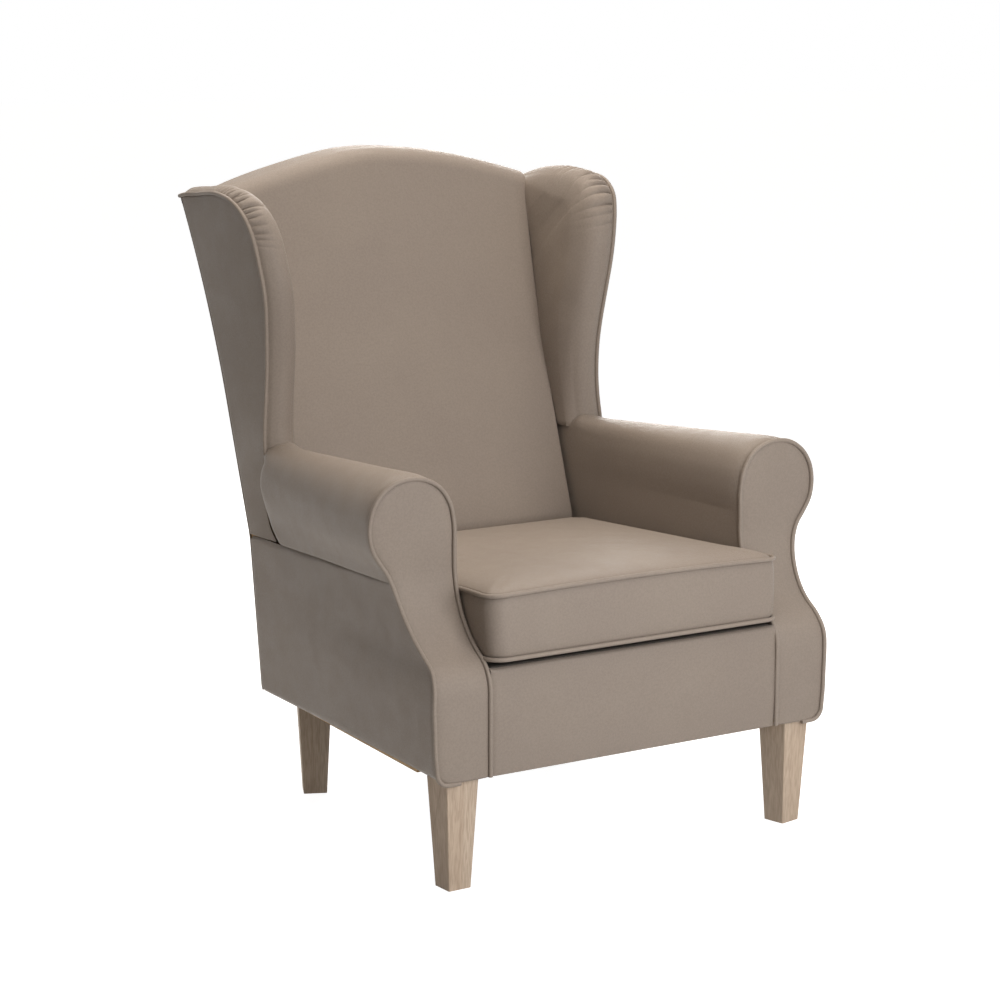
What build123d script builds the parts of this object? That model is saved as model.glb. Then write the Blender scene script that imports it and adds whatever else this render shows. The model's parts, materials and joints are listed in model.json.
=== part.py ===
"""High back wing armchair: wooden frame, springs, fixed upholstery, loose seat cushion and oak legs.

Millimetres, +Z up, the front faces -Y. The origin is on the floor, under the middle of the chair.
Right is +X. Every left piece is the mirror image of its right one, apart from the turn of the legs.
"""

import os
from math import cos, radians, sin, tan

from build123d import *

# Main heights and depths
body_z = 170.0  # underside of the upholstered body
front_y = -422.0  # face of the front border
rear_base_y = 231.0  # outside back at the underside
bend_z = 431.0  # height where the back posts start to rake
rear_bend_y = 248.0  # outside back at the bend
rear_rake = 16.5  # degrees from upright, outside back above the bend
arch_z = 1060.0  # top of the back in the middle
shoulder_z = 1005.0  # top of the back where the wings start
shoulder_x = 300.0
corner_x = 350.0  # rear top corner of the wings
corner_z = 984.0

# Half widths of the outside, measured at the rear edge and the wings
rear_base_x = 306.0
rear_bend_x = 315.0
wing_straight_z = 650.0  # above this height the wings flare
wing_straight_x = 320.0
wing_flare_z = 1090.0
wing_flare_x = 366.0

# Upholstery build-up
cover_wall = 4.0
back_cover_wall = 3.0
gap = 0.3  # between neighbouring pieces
pipe_half = 3.0  # half the width of the self piping
wing_wall = 50.0  # thickness of a padded wing
wing_pad_reach = 12.0  # padding in front of and above the wing piping
wing_round = 12.0  # rounding of the padded wing edge

# Side view of the wings, along their piping
wing_crest_y = 250.0
wing_crest_z = 996.0
wing_front_y = 135.0
wing_brow_z = 875.0
wing_cheek_y = 154.0
wing_cheek_z = 700.0
wing_foot_y = 140.0
wing_foot_z = 562.0  # the wing's front edge runs down behind the arm roll to here
arm_seam_y = 172.0  # rearmost point of the seam behind the arm roll

# Back cushioning
back_side_y = 146.0  # inside back beside the arms, at seat height
back_seat_z = 430.0
back_rake = 19.0  # degrees from upright, inside back
back_crown_low = 36.0
back_crown_top = 22.0
back_round = 26.0  # rounding of the top edge
back_wrap = 16.0  # padding over the top rail

# Arms
arm_inner_x = 270.0
arm_face_y = -323.0  # front of the arm scroll
scroll_x = 343.0
scroll_z = 538.0
scroll_radius = 71.0
scroll_under = 43.0  # degrees that the scroll turns in below its widest point
waist_x = 360.0
waist_z = 346.0
hip_x = 365.5
hip_z = 305.0
base_front_x = 361.0
sweep_low_z = 300.0  # the facing sweeps back between these heights
sweep_high_z = 480.0
sweep_bend = 0.27  # share of that height below the turn of the sweep
facing_wall = 10.0
arm_rear_y = 206.0
arm_rear_x = 304.0  # middle of the arm roll at its rear end
arm_rear_z = 553.0
arm_rear_radius = 36.0
arm_rear_under_z = 510.0
arm_rear_under = 0.9  # share of that radius still left there
arm_rear_slope = 10.0
arm_wall = 22.0  # padding on the inside of the arm
seam_front_z = 451.0  # seam under the arm roll
seam_rear_z = 432.0
seam_front_x = 373.0
seam_gap = 1.5  # the arm roll overhangs the seam by this much
arm_low_z = 322.0  # lower edge of the inside arm, at the deck
arm_wing_z = 588.0  # the wing stands on the arm at this height

# Frame timber
post_wide = 45.0
post_deep = 45.0
post_top_z = 965.0
rail_wall = 25.0
arm_post_wide = 37.0
arm_post_deep = 64.0
arm_rail_low_z = 520.0
arm_rail_rear_wide = 14.0
arm_rail_top_z = 546.0
tack_rail_low_z = 350.0
tack_rail_high = 42.0
tack_rear_wide = 12.0
wing_board_wall = 18.0
top_rail_low_z = 905.0
lower_rail_low_z = 352.0
lower_rail_high = 62.0
block_high = 60.0
block_side = 62.0

# Seat
seat_tilt = 2.2  # degrees, lower at the rear
deck_front_z = 338.0  # top of the deck at the front
deck_wall = 14.0
border_wall = 10.0
border_top_z = 335.0
spring_wire = 4.0
spring_count = 5
spring_pitch = 104.0
spring_amplitude = 24.0
spring_loops = 9
clip_wide = 20.0
clip_deep = 9.0

# Loose seat cushion, in the tilted plane of the deck
cushion_play = 9.0  # between the cushion and the inside of each arm
cushion_front_y = -429.8
cushion_rear_play = 14.0  # between the cushion and the inside back
cushion_corner = 30.0
cushion_bulge = 3.0
border_low = 9.0  # bottom piping above the deck
border_high = 104.0  # top piping above the deck
crown_high = 124.0
crown_rise = (0.45, 0.85)  # shares of the crown's rise where it is drawn in by the first two amounts
crown_draw = (16.0, 65.0, 130.0)
skin = 2.0
zip_half = 210.0
zip_high = 22.0
zip_wall = 1.6
slider_wide = 8.0
slider_deep = 4.0
slider_long = 13.0
bottom_draw = 42.0  # flat underside of the cushion inside its bottom piping
piping_gap = 0.8
pipe_wall = 4.0

# Legs
leg_top = 56.0
leg_foot = 39.0
leg_edge = 2.0
leg_plate_wall = 3.0
leg_bottom_z = 1.0
bolt_radius = 4.0
bolt_low_z = 118.0
bolt_high_z = 222.0
hole_clearance = 0.2
glide_radius = 13.0
glide_high = 4.0
front_leg_x = 313.0
front_leg_y = -387.0
rear_leg_x = 240.0
rear_leg_y = 168.0
front_left_turn = 1.0  # degrees that each screwed-in leg stands turned
front_right_turn = 11.0
rear_left_turn = -25.0
rear_right_turn = 0.0

# Suspension and underside
strap_high = 55.0
strap_wall = 2.0
strap_count = 4
strap_low_z = 600.0
strap_pitch = 95.0
dust_wall = 1.0
dust_hole = 43.0

far = 1200.0  # longer than the chair, for cutting shapes
floor_cut = 100.0

# Worked-out values
cushion_half = arm_inner_x - cushion_play
cushion_rear_y = back_side_y - back_crown_low - cushion_rear_play
leg_top_z = body_z - gap
rail_low_z = leg_top_z + leg_plate_wall
rear_slope = tan(radians(rear_rake))
back_slope = tan(radians(back_rake))
frame_inset = back_cover_wall + gap
pad_rear = frame_inset + post_deep + strap_wall + 2 * gap
waist_drop = scroll_radius * sin(radians(scroll_under))
neck = (scroll_x + scroll_radius * cos(radians(scroll_under)), scroll_z - waist_drop)
wing_inner = cover_wall + gap + wing_board_wall + gap
top_z = arch_z + floor_cut
deck_rear_z = deck_front_z - (back_side_y - back_crown_low - front_y) * tan(radians(seat_tilt)) + gap
back_section_x = shoulder_x + 20
wing_rear_y = rear_bend_y + (corner_z - bend_z) * rear_slope + floor_cut
seat_plane = Plane(
    origin=(0, front_y, deck_front_z),
    x_dir=(1, 0, 0),
    z_dir=(0, sin(radians(seat_tilt)), cos(radians(seat_tilt))),
)

os.makedirs("parts", exist_ok=True)


def save(piece, name):
    """Label a finished piece and write its file."""
    piece.part.label = name
    export_step(piece.part, f"parts/{name}.step")


def save_pair(piece, name):
    """Write a right piece and its mirror image on the left."""
    save(piece, f"right_{name}")
    with BuildPart() as left_piece:
        mirror(piece.part, about=Plane.YZ)
    save(left_piece, f"left_{name}")


def rear_y(z):
    """Depth of the outside back at a height."""
    if z < bend_z:
        return rear_base_y + (rear_bend_y - rear_base_y) * (z - body_z) / (bend_z - body_z)
    return rear_bend_y + (z - bend_z) * rear_slope


def inside_back_y(z):
    """Depth of the inside back at its sides."""
    return back_side_y + max(z - back_seat_z, 0) * back_slope


def side_x(z):
    """Half width of the outside below the flare of the wings."""
    if z < bend_z:
        return rear_base_x + (rear_bend_x - rear_base_x) * (z - body_z) / (bend_z - body_z)
    share = (z - bend_z) / (wing_straight_z - bend_z)
    return rear_bend_x + (wing_straight_x - rear_bend_x) * share


def base_side_x(y):
    """Half width of the body at its underside."""
    share = (y - front_y) / (rear_base_y - front_y)
    return base_front_x + (rear_base_x - base_front_x) * share


def rear_strip(near, deep):
    """Slab that follows the outside back, from near to deep in front of it, across the chair."""
    with BuildPart() as slab:
        with BuildSketch(Plane.YZ):
            with BuildLine():
                Polyline(
                    (rear_base_y - near, body_z),
                    (rear_bend_y - near, bend_z),
                    (rear_y(top_z) - near, top_z),
                    (rear_y(top_z) - deep, top_z),
                    (rear_bend_y - deep, bend_z),
                    (rear_base_y - deep, body_z),
                    close=True,
                )
            make_face()
        extrude(amount=far, both=True)
    return slab.part


def side_strip(near, deep):
    """Slab that follows the outside of a wing and its post, from near to deep inside it."""
    with BuildPart() as slab:
        with BuildSketch(Plane.XZ):
            with BuildLine():
                for inset in (near, deep):
                    low = Polyline(
                        (rear_base_x - inset, body_z),
                        (rear_bend_x - inset, bend_z),
                        (wing_straight_x - inset, wing_straight_z),
                    )
                    TangentArc(
                        (wing_straight_x - inset, wing_straight_z),
                        (wing_flare_x - inset, wing_flare_z),
                        tangent=low % 1,
                    )
                Line((rear_base_x - near, body_z), (rear_base_x - deep, body_z))
                Line((wing_flare_x - near, wing_flare_z), (wing_flare_x - deep, wing_flare_z))
            make_face()
        extrude(amount=far, both=True)
    return slab.part


def facing_strip(near, deep, top=top_z):
    """Slab that follows the swept front of the arms, from near to deep behind it."""
    middle_y = front_y + sweep_bend * (arm_face_y - front_y)
    middle_z = sweep_low_z + sweep_bend * (sweep_high_z - sweep_low_z)
    with BuildPart() as slab:
        with BuildSketch(Plane.YZ):
            with BuildLine():
                for shift in (near, deep):
                    Line((front_y + shift, body_z), (front_y + shift, sweep_low_z))
                    low = TangentArc(
                        (front_y + shift, sweep_low_z),
                        (middle_y + shift, middle_z),
                        tangent=(0, 1),
                    )
                    TangentArc(
                        (middle_y + shift, middle_z),
                        (arm_face_y + shift, sweep_high_z),
                        tangent=low % 1,
                    )
                    Line((arm_face_y + shift, sweep_high_z), (arm_face_y + shift, top))
                Line((front_y + near, body_z), (front_y + deep, body_z))
                Line((arm_face_y + near, top), (arm_face_y + deep, top))
            make_face()
        extrude(amount=far, both=True)
    return slab.part


def arm_outline(grow):
    """Front view of a right arm, grown by an amount, as a long bar along Y."""
    low_z = body_z - floor_cut
    with BuildPart() as bar:
        with BuildSketch(Plane.XZ):
            with BuildLine():
                Line((arm_inner_x, low_z), (arm_inner_x, scroll_z))
                TangentArc(
                    (arm_inner_x, scroll_z),
                    (scroll_x, scroll_z + scroll_radius),
                    tangent=(0, 1),
                )
                ThreePointArc(
                    (scroll_x, scroll_z + scroll_radius),
                    (scroll_x + scroll_radius, scroll_z),
                    neck,
                )
                TangentArc((waist_x, waist_z), neck, tangent=(0, 1))
                Polyline((waist_x, waist_z), (hip_x, hip_z), (base_front_x, body_z), (base_front_x, low_z))
                Line((base_front_x, low_z), (arm_inner_x, low_z))
            make_face()
            if grow:
                offset(amount=grow, kind=Kind.ARC, mode=Mode.REPLACE)
        extrude(amount=far, both=True)
    return bar.part


def wing_outline(grow):
    """Side view of a wing along its piping, grown by an amount, as a long bar along X."""
    with BuildPart() as bar:
        with BuildSketch(Plane.YZ):
            with BuildLine():
                crest = Line((wing_rear_y, corner_z), (wing_crest_y, wing_crest_z))
                brow = TangentArc(crest @ 1, (wing_front_y, wing_brow_z), tangent=crest % 1)
                cheek = TangentArc(brow @ 1, (wing_cheek_y, wing_cheek_z), tangent=brow % 1)
                TangentArc(cheek @ 1, (wing_foot_y, wing_foot_z), tangent=cheek % 1)
                ThreePointArc(
                    (wing_foot_y, wing_foot_z),
                    (arm_seam_y, (wing_foot_z + seam_rear_z) / 2),
                    (wing_foot_y, seam_rear_z),
                )
                Polyline(
                    (wing_foot_y, seam_rear_z),
                    (wing_foot_y, seam_rear_z - floor_cut),
                    (wing_rear_y, seam_rear_z - floor_cut),
                    (wing_rear_y, corner_z),
                )
            make_face()
            if grow:
                offset(amount=grow, kind=Kind.ARC, mode=Mode.REPLACE)
        extrude(amount=far, both=True)
    return bar.part


def back_outline(drop):
    """Front view of the back with its arched top, lowered by an amount, as a long bar along Y."""
    with BuildPart() as bar:
        with BuildSketch(Plane.XZ):
            with BuildLine():
                ThreePointArc(
                    (-shoulder_x, shoulder_z - drop),
                    (0, arch_z - drop),
                    (shoulder_x, shoulder_z - drop),
                )
                Polyline(
                    (shoulder_x, shoulder_z - drop),
                    (corner_x, corner_z - drop),
                    (far, corner_z - drop),
                    (far, 0),
                    (-far, 0),
                    (-far, corner_z - drop),
                    (-corner_x, corner_z - drop),
                    (-shoulder_x, shoulder_z - drop),
                )
            make_face()
        extrude(amount=far, both=True)
    return bar.part


def above(z):
    """Everything above a height."""
    with BuildPart() as block:
        with Locations((0, 0, z)):
            Box(2 * far, 2 * far, far, align=(Align.CENTER, Align.CENTER, Align.MIN))
    return block.part


def behind_back(clearance):
    """Everything behind the inside back at its sides, with a clearance in front."""
    with BuildPart() as block:
        with BuildSketch(Plane.YZ):
            with BuildLine():
                Polyline(
                    (back_side_y - clearance, 0),
                    (back_side_y - clearance, back_seat_z),
                    (inside_back_y(top_z) - clearance, top_z),
                    (far, top_z),
                    (far, 0),
                    close=True,
                )
            make_face()
        extrude(amount=far, both=True)
    return block.part


def plan_prism(points, low_z, high_z):
    """Upright prism on a plan outline."""
    with BuildPart() as prism:
        with BuildSketch(Plane.XY.offset(low_z)):
            with BuildLine():
                Polyline(*points, close=True)
            make_face()
        extrude(amount=high_z - low_z)
    return prism.part


def bolt_holes(radius, low_z, high_z):
    """Upright cylinders on the four leg centres."""
    with BuildPart() as pins:
        with Locations(*[(x, y, low_z) for x, y in leg_places]):
            Cylinder(radius, high_z - low_z, align=(Align.CENTER, Align.CENTER, Align.MIN))
    return pins.part


leg_places = [
    (front_leg_x, front_leg_y),
    (-front_leg_x, front_leg_y),
    (rear_leg_x, rear_leg_y),
    (-rear_leg_x, rear_leg_y),
]

# Legs, bolts, plates and glides
leg_names = ["front_right_leg", "front_left_leg", "rear_right_leg", "rear_left_leg"]
leg_turns = [front_right_turn, front_left_turn, rear_right_turn, rear_left_turn]
for leg_name, (leg_x, leg_y), turn in zip(leg_names, leg_places, leg_turns):
    leg_plane = Plane(origin=(leg_x, leg_y, leg_bottom_z)).rotated((0, 0, turn))
    with BuildPart() as leg:
        with BuildSketch(leg_plane):
            RectangleRounded(leg_foot, leg_foot, leg_edge)
        with BuildSketch(leg_plane.offset(leg_top_z - leg_bottom_z)):
            RectangleRounded(leg_top, leg_top, leg_edge)
        loft()
        with Locations((leg_x, leg_y, leg_bottom_z)):
            Cylinder(
                glide_radius + hole_clearance,
                2 * (glide_high - leg_bottom_z + hole_clearance),
                mode=Mode.SUBTRACT,
            )
        with Locations((leg_x, leg_y, bolt_low_z - hole_clearance)):
            Cylinder(
                bolt_radius + hole_clearance,
                leg_top_z,
                align=(Align.CENTER, Align.CENTER, Align.MIN),
                mode=Mode.SUBTRACT,
            )
    save(leg, leg_name)

with BuildPart() as leg_bolts:
    add(bolt_holes(bolt_radius, bolt_low_z, bolt_high_z))
save(leg_bolts, "leg_bolts")

with BuildPart() as leg_plates:
    for leg_x, leg_y in leg_places:
        with BuildSketch(Plane(origin=(leg_x, leg_y, leg_top_z))):
            RectangleRounded(arm_post_wide, arm_post_wide, leg_edge)
            Circle(bolt_radius + hole_clearance, mode=Mode.SUBTRACT)
        extrude(amount=leg_plate_wall)
save(leg_plates, "leg_plates")

with BuildPart() as foot_glides:
    add(bolt_holes(glide_radius, 0, glide_high))
save(foot_glides, "foot_glides")

# Seat rails and corner blocks
post_x = arm_inner_x + arm_wall + gap
post_out_x = post_x + arm_post_wide
rail_front_y = front_y + facing_wall + gap
arm_post_front_y = front_y + facing_wall + gap
arm_post_rear_y = arm_post_front_y + arm_post_deep
back_post_front_y = rear_base_y - frame_inset - post_deep
rear_post_in_x = rear_base_x - cover_wall - gap - post_wide
spring_front_z = deck_front_z - deck_wall - gap - spring_wire - gap
spring_rear_z = spring_front_z - (back_post_front_y - front_y) * tan(radians(seat_tilt))
bolt_clear = bolt_holes(bolt_radius + hole_clearance, 0, bolt_high_z + hole_clearance)

with BuildPart() as front_seat_rail:
    add(
        plan_prism(
            [
                (-post_x + gap, front_y),
                (post_x - gap, front_y),
                (post_x - gap, rail_front_y + rail_wall),
                (-post_x + gap, rail_front_y + rail_wall),
            ],
            rail_low_z,
            spring_front_z - (facing_wall + rail_wall) * tan(radians(seat_tilt)) - gap,
        )
    )
    add(facing_strip(-far, facing_wall + gap), mode=Mode.SUBTRACT)
save(front_seat_rail, "front_seat_rail")

with BuildPart() as rear_seat_rail:
    add(
        plan_prism(
            [
                (-rear_post_in_x + gap, back_post_front_y),
                (rear_post_in_x - gap, back_post_front_y),
                (rear_post_in_x - gap, back_post_front_y + rail_wall),
                (-rear_post_in_x + gap, back_post_front_y + rail_wall),
            ],
            rail_low_z,
            spring_rear_z - rail_wall * tan(radians(seat_tilt)) - gap,
        )
    )
save(rear_seat_rail, "rear_seat_rail")

side_rail_front_y = arm_post_rear_y + gap
side_rail_rear_y = back_post_front_y - gap
side_inset = cover_wall + 2 * gap
with BuildPart() as side_rail:
    add(
        plan_prism(
            [
                (base_side_x(side_rail_front_y) - side_inset, side_rail_front_y),
                (base_side_x(side_rail_rear_y) - side_inset, side_rail_rear_y),
                (base_side_x(side_rail_rear_y) - side_inset - rail_wall, side_rail_rear_y),
                (base_side_x(side_rail_front_y) - side_inset - rail_wall, side_rail_front_y),
            ],
            rail_low_z,
            spring_rear_z,
        )
    )
save_pair(side_rail, "seat_rail")

block_front_y = rail_front_y + rail_wall + gap
block_rear_y = back_post_front_y - gap
block_rear_x = base_side_x(block_rear_y) - side_inset - rail_wall - gap
block_rear_low_x = rear_leg_x - arm_post_wide / 2
block_rear_low_y = rear_leg_y - arm_post_wide / 2
with BuildPart() as corner_blocks:
    front_block = plan_prism(
        [
            (post_x - gap, block_front_y),
            (post_x - gap, block_front_y + block_side),
            (post_x - gap - block_side, block_front_y),
        ],
        rail_low_z,
        rail_low_z + block_high,
    )
    rear_block = plan_prism(
        [
            (block_rear_x, block_rear_y),
            (block_rear_low_x, block_rear_y),
            (block_rear_low_x, block_rear_low_y),
            (block_rear_x, block_rear_low_y),
        ],
        rail_low_z,
        rail_low_z + block_high,
    )
    for block in (front_block, rear_block):
        add(block)
        mirror(block, about=Plane.YZ)
    add(bolt_clear, mode=Mode.SUBTRACT)
save(corner_blocks, "corner_blocks")

# Back posts and rails
with BuildPart() as back_post:
    add(rear_strip(frame_inset, frame_inset + post_deep))
    add(side_strip(cover_wall + gap, cover_wall + gap + post_wide), mode=Mode.INTERSECT)
    add(above(rail_low_z), mode=Mode.INTERSECT)
    add(above(post_top_z), mode=Mode.SUBTRACT)
save_pair(back_post, "back_post")

post_clear = cover_wall + gap + post_wide + gap
with BuildPart() as between_posts:
    add(side_strip(post_clear, far))
    mirror(side_strip(post_clear, far), about=Plane.YZ, mode=Mode.INTERSECT)

with BuildPart() as back_top_rail:
    add(rear_strip(frame_inset, frame_inset + post_deep))
    add(between_posts.part, mode=Mode.INTERSECT)
    add(above(top_rail_low_z), mode=Mode.INTERSECT)
    add(back_outline(back_wrap + gap), mode=Mode.INTERSECT)
save(back_top_rail, "back_top_rail")

with BuildPart() as back_lower_rail:
    add(rear_strip(frame_inset + post_deep - rail_wall, frame_inset + post_deep))
    add(between_posts.part, mode=Mode.INTERSECT)
    add(above(lower_rail_low_z), mode=Mode.INTERSECT)
    add(above(lower_rail_low_z + lower_rail_high), mode=Mode.SUBTRACT)
save(back_lower_rail, "back_lower_rail")

with BuildPart() as back_webbing:
    add(rear_strip(frame_inset + post_deep + gap, frame_inset + post_deep + gap + strap_wall))
    with BuildPart(mode=Mode.INTERSECT):
        for strap in range(strap_count):
            with Locations((0, 0, strap_low_z + strap * strap_pitch)):
                Box(2 * (rear_bend_x - post_wide / 2), 2 * far, strap_high)
save(back_webbing, "back_webbing")

# Arm posts, arm rails and tack rails
with BuildPart() as arm_post:
    add(facing_strip(facing_wall + gap, facing_wall + gap + arm_post_deep, arm_rail_low_z - gap))
    with BuildPart(mode=Mode.INTERSECT):
        with Locations((post_x, 0, rail_low_z)):
            Box(arm_post_wide, 2 * far, far, align=(Align.MIN, Align.CENTER, Align.MIN))
    add(bolt_clear, mode=Mode.SUBTRACT)
save_pair(arm_post, "arm_post")

arm_rail_front_y = arm_face_y + facing_wall + gap
arm_rail_rear_y = rear_y(arm_rail_low_z) - frame_inset - post_deep - gap
arm_rail_rear_x = post_x + arm_rail_rear_wide
with BuildPart() as arm_rail:
    add(
        plan_prism(
            [
                (post_x, arm_rail_front_y),
                (post_out_x, arm_rail_front_y),
                (arm_rail_rear_x, arm_rail_rear_y),
                (post_x, arm_rail_rear_y),
            ],
            arm_rail_low_z,
            arm_rail_top_z,
        )
    )
save_pair(arm_rail, "arm_rail")

tack_rear_y = rear_y(tack_rail_low_z) - frame_inset - post_deep - gap
with BuildPart() as arm_tack_rail:
    add(
        plan_prism(
            [
                (post_x, front_y),
                (post_x + rail_wall, front_y),
                (post_x + rail_wall, arm_face_y + arm_post_deep),
                (post_x + tack_rear_wide, tack_rear_y),
                (post_x, tack_rear_y),
            ],
            tack_rail_low_z,
            tack_rail_low_z + tack_rail_high,
        )
    )
    add(facing_strip(-far, facing_wall + arm_post_deep + 2 * gap), mode=Mode.SUBTRACT)
save_pair(arm_tack_rail, "arm_tack_rail")

# Wings: board, pad, outside cover and piping
seam_share = (wing_foot_y - front_y) / (rear_bend_y - front_y)
wing_seam_z = seam_front_z + (seam_rear_z - seam_front_z) * seam_share
behind_pads = rear_strip(-far, pad_rear)
with BuildPart() as wing_board:
    add(side_strip(cover_wall + gap, cover_wall + gap + wing_board_wall))
    add(wing_outline(-pipe_half - 2 * gap), mode=Mode.INTERSECT)
    add(rear_strip(-far, frame_inset + post_deep + gap), mode=Mode.SUBTRACT)
    add(above(arm_wing_z + gap), mode=Mode.INTERSECT)
save_pair(wing_board, "wing_board")

with BuildPart() as wing_pad:
    add(side_strip(0, wing_wall))
    add(wing_outline(wing_pad_reach), mode=Mode.INTERSECT)
    add(above(arm_wing_z + gap), mode=Mode.INTERSECT)
    inner_faces = wing_pad.faces().filter_by(lambda f: f.normal_at(f.center()).X < -0.9)
    rim = [
        edge
        for edge in wing_pad.edges()
        if sum(any(edge.is_same(other) for other in face.edges()) for face in inner_faces) == 1
        and edge.center().Y < wing_rear_y - floor_cut
        and edge.center().Z > arm_wing_z + 1
    ]
    fillet(rim, wing_round)
    add(rear_strip(-far, frame_inset), mode=Mode.SUBTRACT)
    with BuildPart(mode=Mode.SUBTRACT):
        add(behind_pads)
        with BuildPart(mode=Mode.SUBTRACT):
            add(above(post_top_z + gap))
            add(side_strip(-far, cover_wall + gap + post_wide), mode=Mode.INTERSECT)
    with BuildPart(mode=Mode.SUBTRACT):
        add(side_strip(-far, wing_inner))
        add(wing_outline(-pipe_half - gap), mode=Mode.INTERSECT)
    with BuildPart(mode=Mode.SUBTRACT):
        add(side_strip(-far, pipe_half + gap))
        add(wing_outline(pipe_half + gap), mode=Mode.INTERSECT)
save_pair(wing_pad, "wing_pad")

with BuildPart() as outside_wing_cover:
    add(side_strip(0, cover_wall))
    add(wing_outline(-pipe_half - gap), mode=Mode.INTERSECT)
    add(rear_strip(-far, frame_inset), mode=Mode.SUBTRACT)
    add(above(wing_seam_z + gap), mode=Mode.INTERSECT)
save_pair(outside_wing_cover, "outside_wing_cover")

with BuildPart() as wing_piping:
    add(side_strip(-pipe_half, pipe_half))
    add(wing_outline(pipe_half), mode=Mode.INTERSECT)
    add(wing_outline(-pipe_half), mode=Mode.SUBTRACT)
    add(rear_strip(-far, frame_inset), mode=Mode.SUBTRACT)
    add(above(arm_wing_z + gap), mode=Mode.INTERSECT)
save_pair(wing_piping, "wing_piping")

# Inside and outside back
with BuildPart() as between_wings:
    add(side_strip(wing_wall + 2 * gap, far))
    mirror(side_strip(wing_wall + 2 * gap, far), about=Plane.YZ, mode=Mode.INTERSECT)

with BuildPart() as inside_back_pad:
    for z, crown in ((deck_rear_z, back_crown_low), (back_seat_z, back_crown_low), (top_z, back_crown_top)):
        flat_y = rear_y(z) - pad_rear - gap
        with BuildSketch(Plane.XY.offset(z)):
            with BuildLine():
                ThreePointArc(
                    (-back_section_x, inside_back_y(z)),
                    (0, inside_back_y(z) - crown),
                    (back_section_x, inside_back_y(z)),
                )
                Polyline(
                    (-back_section_x, inside_back_y(z)),
                    (-back_section_x, flat_y),
                    (back_section_x, flat_y),
                    (back_section_x, inside_back_y(z)),
                )
            make_face()
    loft(ruled=True)
    add(back_outline(0), mode=Mode.INTERSECT)
    top_edges = inside_back_pad.edges().filter_by(lambda e: e.length > shoulder_x)
    fillet(top_edges.group_by(Axis.Z)[-1].sort_by(Axis.Y)[0], back_round)
    with BuildPart(mode=Mode.ADD):
        add(rear_strip(frame_inset, pad_rear + 2 * gap))
        add(back_outline(0), mode=Mode.INTERSECT)
        add(back_outline(back_wrap), mode=Mode.SUBTRACT)
    add(between_wings.part, mode=Mode.INTERSECT)
save(inside_back_pad, "inside_back_pad")

with BuildPart() as outside_back_cover:
    add(rear_strip(0, back_cover_wall))
    add(back_outline(0), mode=Mode.INTERSECT)
    add(side_strip(0, far), mode=Mode.INTERSECT)
    mirror(side_strip(0, far), about=Plane.YZ, mode=Mode.INTERSECT)
save(outside_back_cover, "outside_back_cover")


def arm_section(y, middle_x, middle_z, radius, neck_x, neck_z, neck_slope, seam_x, seam_z, pocket_x):
    """Section through a right arm: the roll over the rail pocket, and the inside arm."""
    pocket_z = arm_rail_top_z + gap
    with BuildSketch(Plane.XZ.offset(-y)) as section:
        with BuildLine():
            Line((arm_inner_x, arm_low_z), (arm_inner_x, middle_z))
            TangentArc(
                (arm_inner_x, middle_z),
                (middle_x, middle_z + radius),
                tangent=(0, 1),
            )
            ThreePointArc(
                (middle_x, middle_z + radius),
                (middle_x + radius, middle_z),
                (neck_x, neck_z),
            )
            TangentArc(
                (neck_x, neck_z),
                (seam_x, seam_z),
                tangent=(-sin(radians(neck_slope)), -cos(radians(neck_slope))),
            )
            Polyline(
                (seam_x, seam_z),
                (pocket_x, seam_z),
                (pocket_x, pocket_z),
                (arm_inner_x + arm_wall, pocket_z),
                (arm_inner_x + arm_wall, arm_low_z),
                (arm_inner_x, arm_low_z),
            )
        make_face()
    return section.sketch


# Arm pads and the covers outside and in front of them
front_roll = (scroll_x, scroll_z, scroll_radius, neck[0], neck[1], scroll_under)
front_seam = (seam_front_x, seam_front_z + seam_gap, post_out_x + rail_wall / 5)
rear_roll = (
    arm_rear_x,
    arm_rear_z,
    arm_rear_radius,
    arm_rear_x + arm_rear_under * arm_rear_radius,
    arm_rear_under_z,
    arm_rear_slope,
)
rear_seam = (
    side_x(seam_rear_z) + gap,
    seam_rear_z + 2 * seam_gap,
    side_x(arm_rail_low_z) - cover_wall - gap,
)
with BuildPart() as arm_pad:
    loft(
        [
            arm_section(front_y, *front_roll, *front_seam),
            arm_section(arm_face_y, *front_roll, *front_seam),
            arm_section(arm_rear_y, *rear_roll, *rear_seam),
        ],
        ruled=True,
    )
    add(facing_strip(-far, facing_wall + gap), mode=Mode.SUBTRACT)
    add(behind_back(gap), mode=Mode.SUBTRACT)
    with BuildPart(mode=Mode.SUBTRACT):
        add(above(arm_wing_z))
        add(wing_outline(wing_pad_reach + gap), mode=Mode.INTERSECT)
    with BuildPart(mode=Mode.SUBTRACT):
        add(side_strip(-far, cover_wall + gap))
        add(wing_outline(gap), mode=Mode.INTERSECT)
save_pair(arm_pad, "arm_pad")

front_profile = [
    (base_front_x, body_z - floor_cut),
    (base_front_x, body_z),
    (hip_x, hip_z),
    (waist_x, waist_z),
    (seam_front_x, seam_front_z),
]
rear_profile = [(side_x(z), z) for z in (body_z - floor_cut, body_z, hip_z, waist_z, seam_rear_z)]
with BuildPart() as outside_arm_cover:
    for stretch in (slice(0, 3), slice(2, 5)):
        with BuildPart(mode=Mode.ADD):
            for y, profile in ((front_y, front_profile), (rear_bend_y, rear_profile)):
                inside = [(x - cover_wall, z) for x, z in reversed(profile[stretch])]
                with BuildSketch(Plane.XZ.offset(-y)):
                    with BuildLine():
                        Polyline(*profile[stretch], *inside, close=True)
                    make_face()
            loft(ruled=True)
            add(rear_strip(-far, frame_inset), mode=Mode.SUBTRACT)
            add(facing_strip(facing_wall + gap, far), mode=Mode.INTERSECT)
save_pair(outside_arm_cover, "outside_arm_cover")

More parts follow.
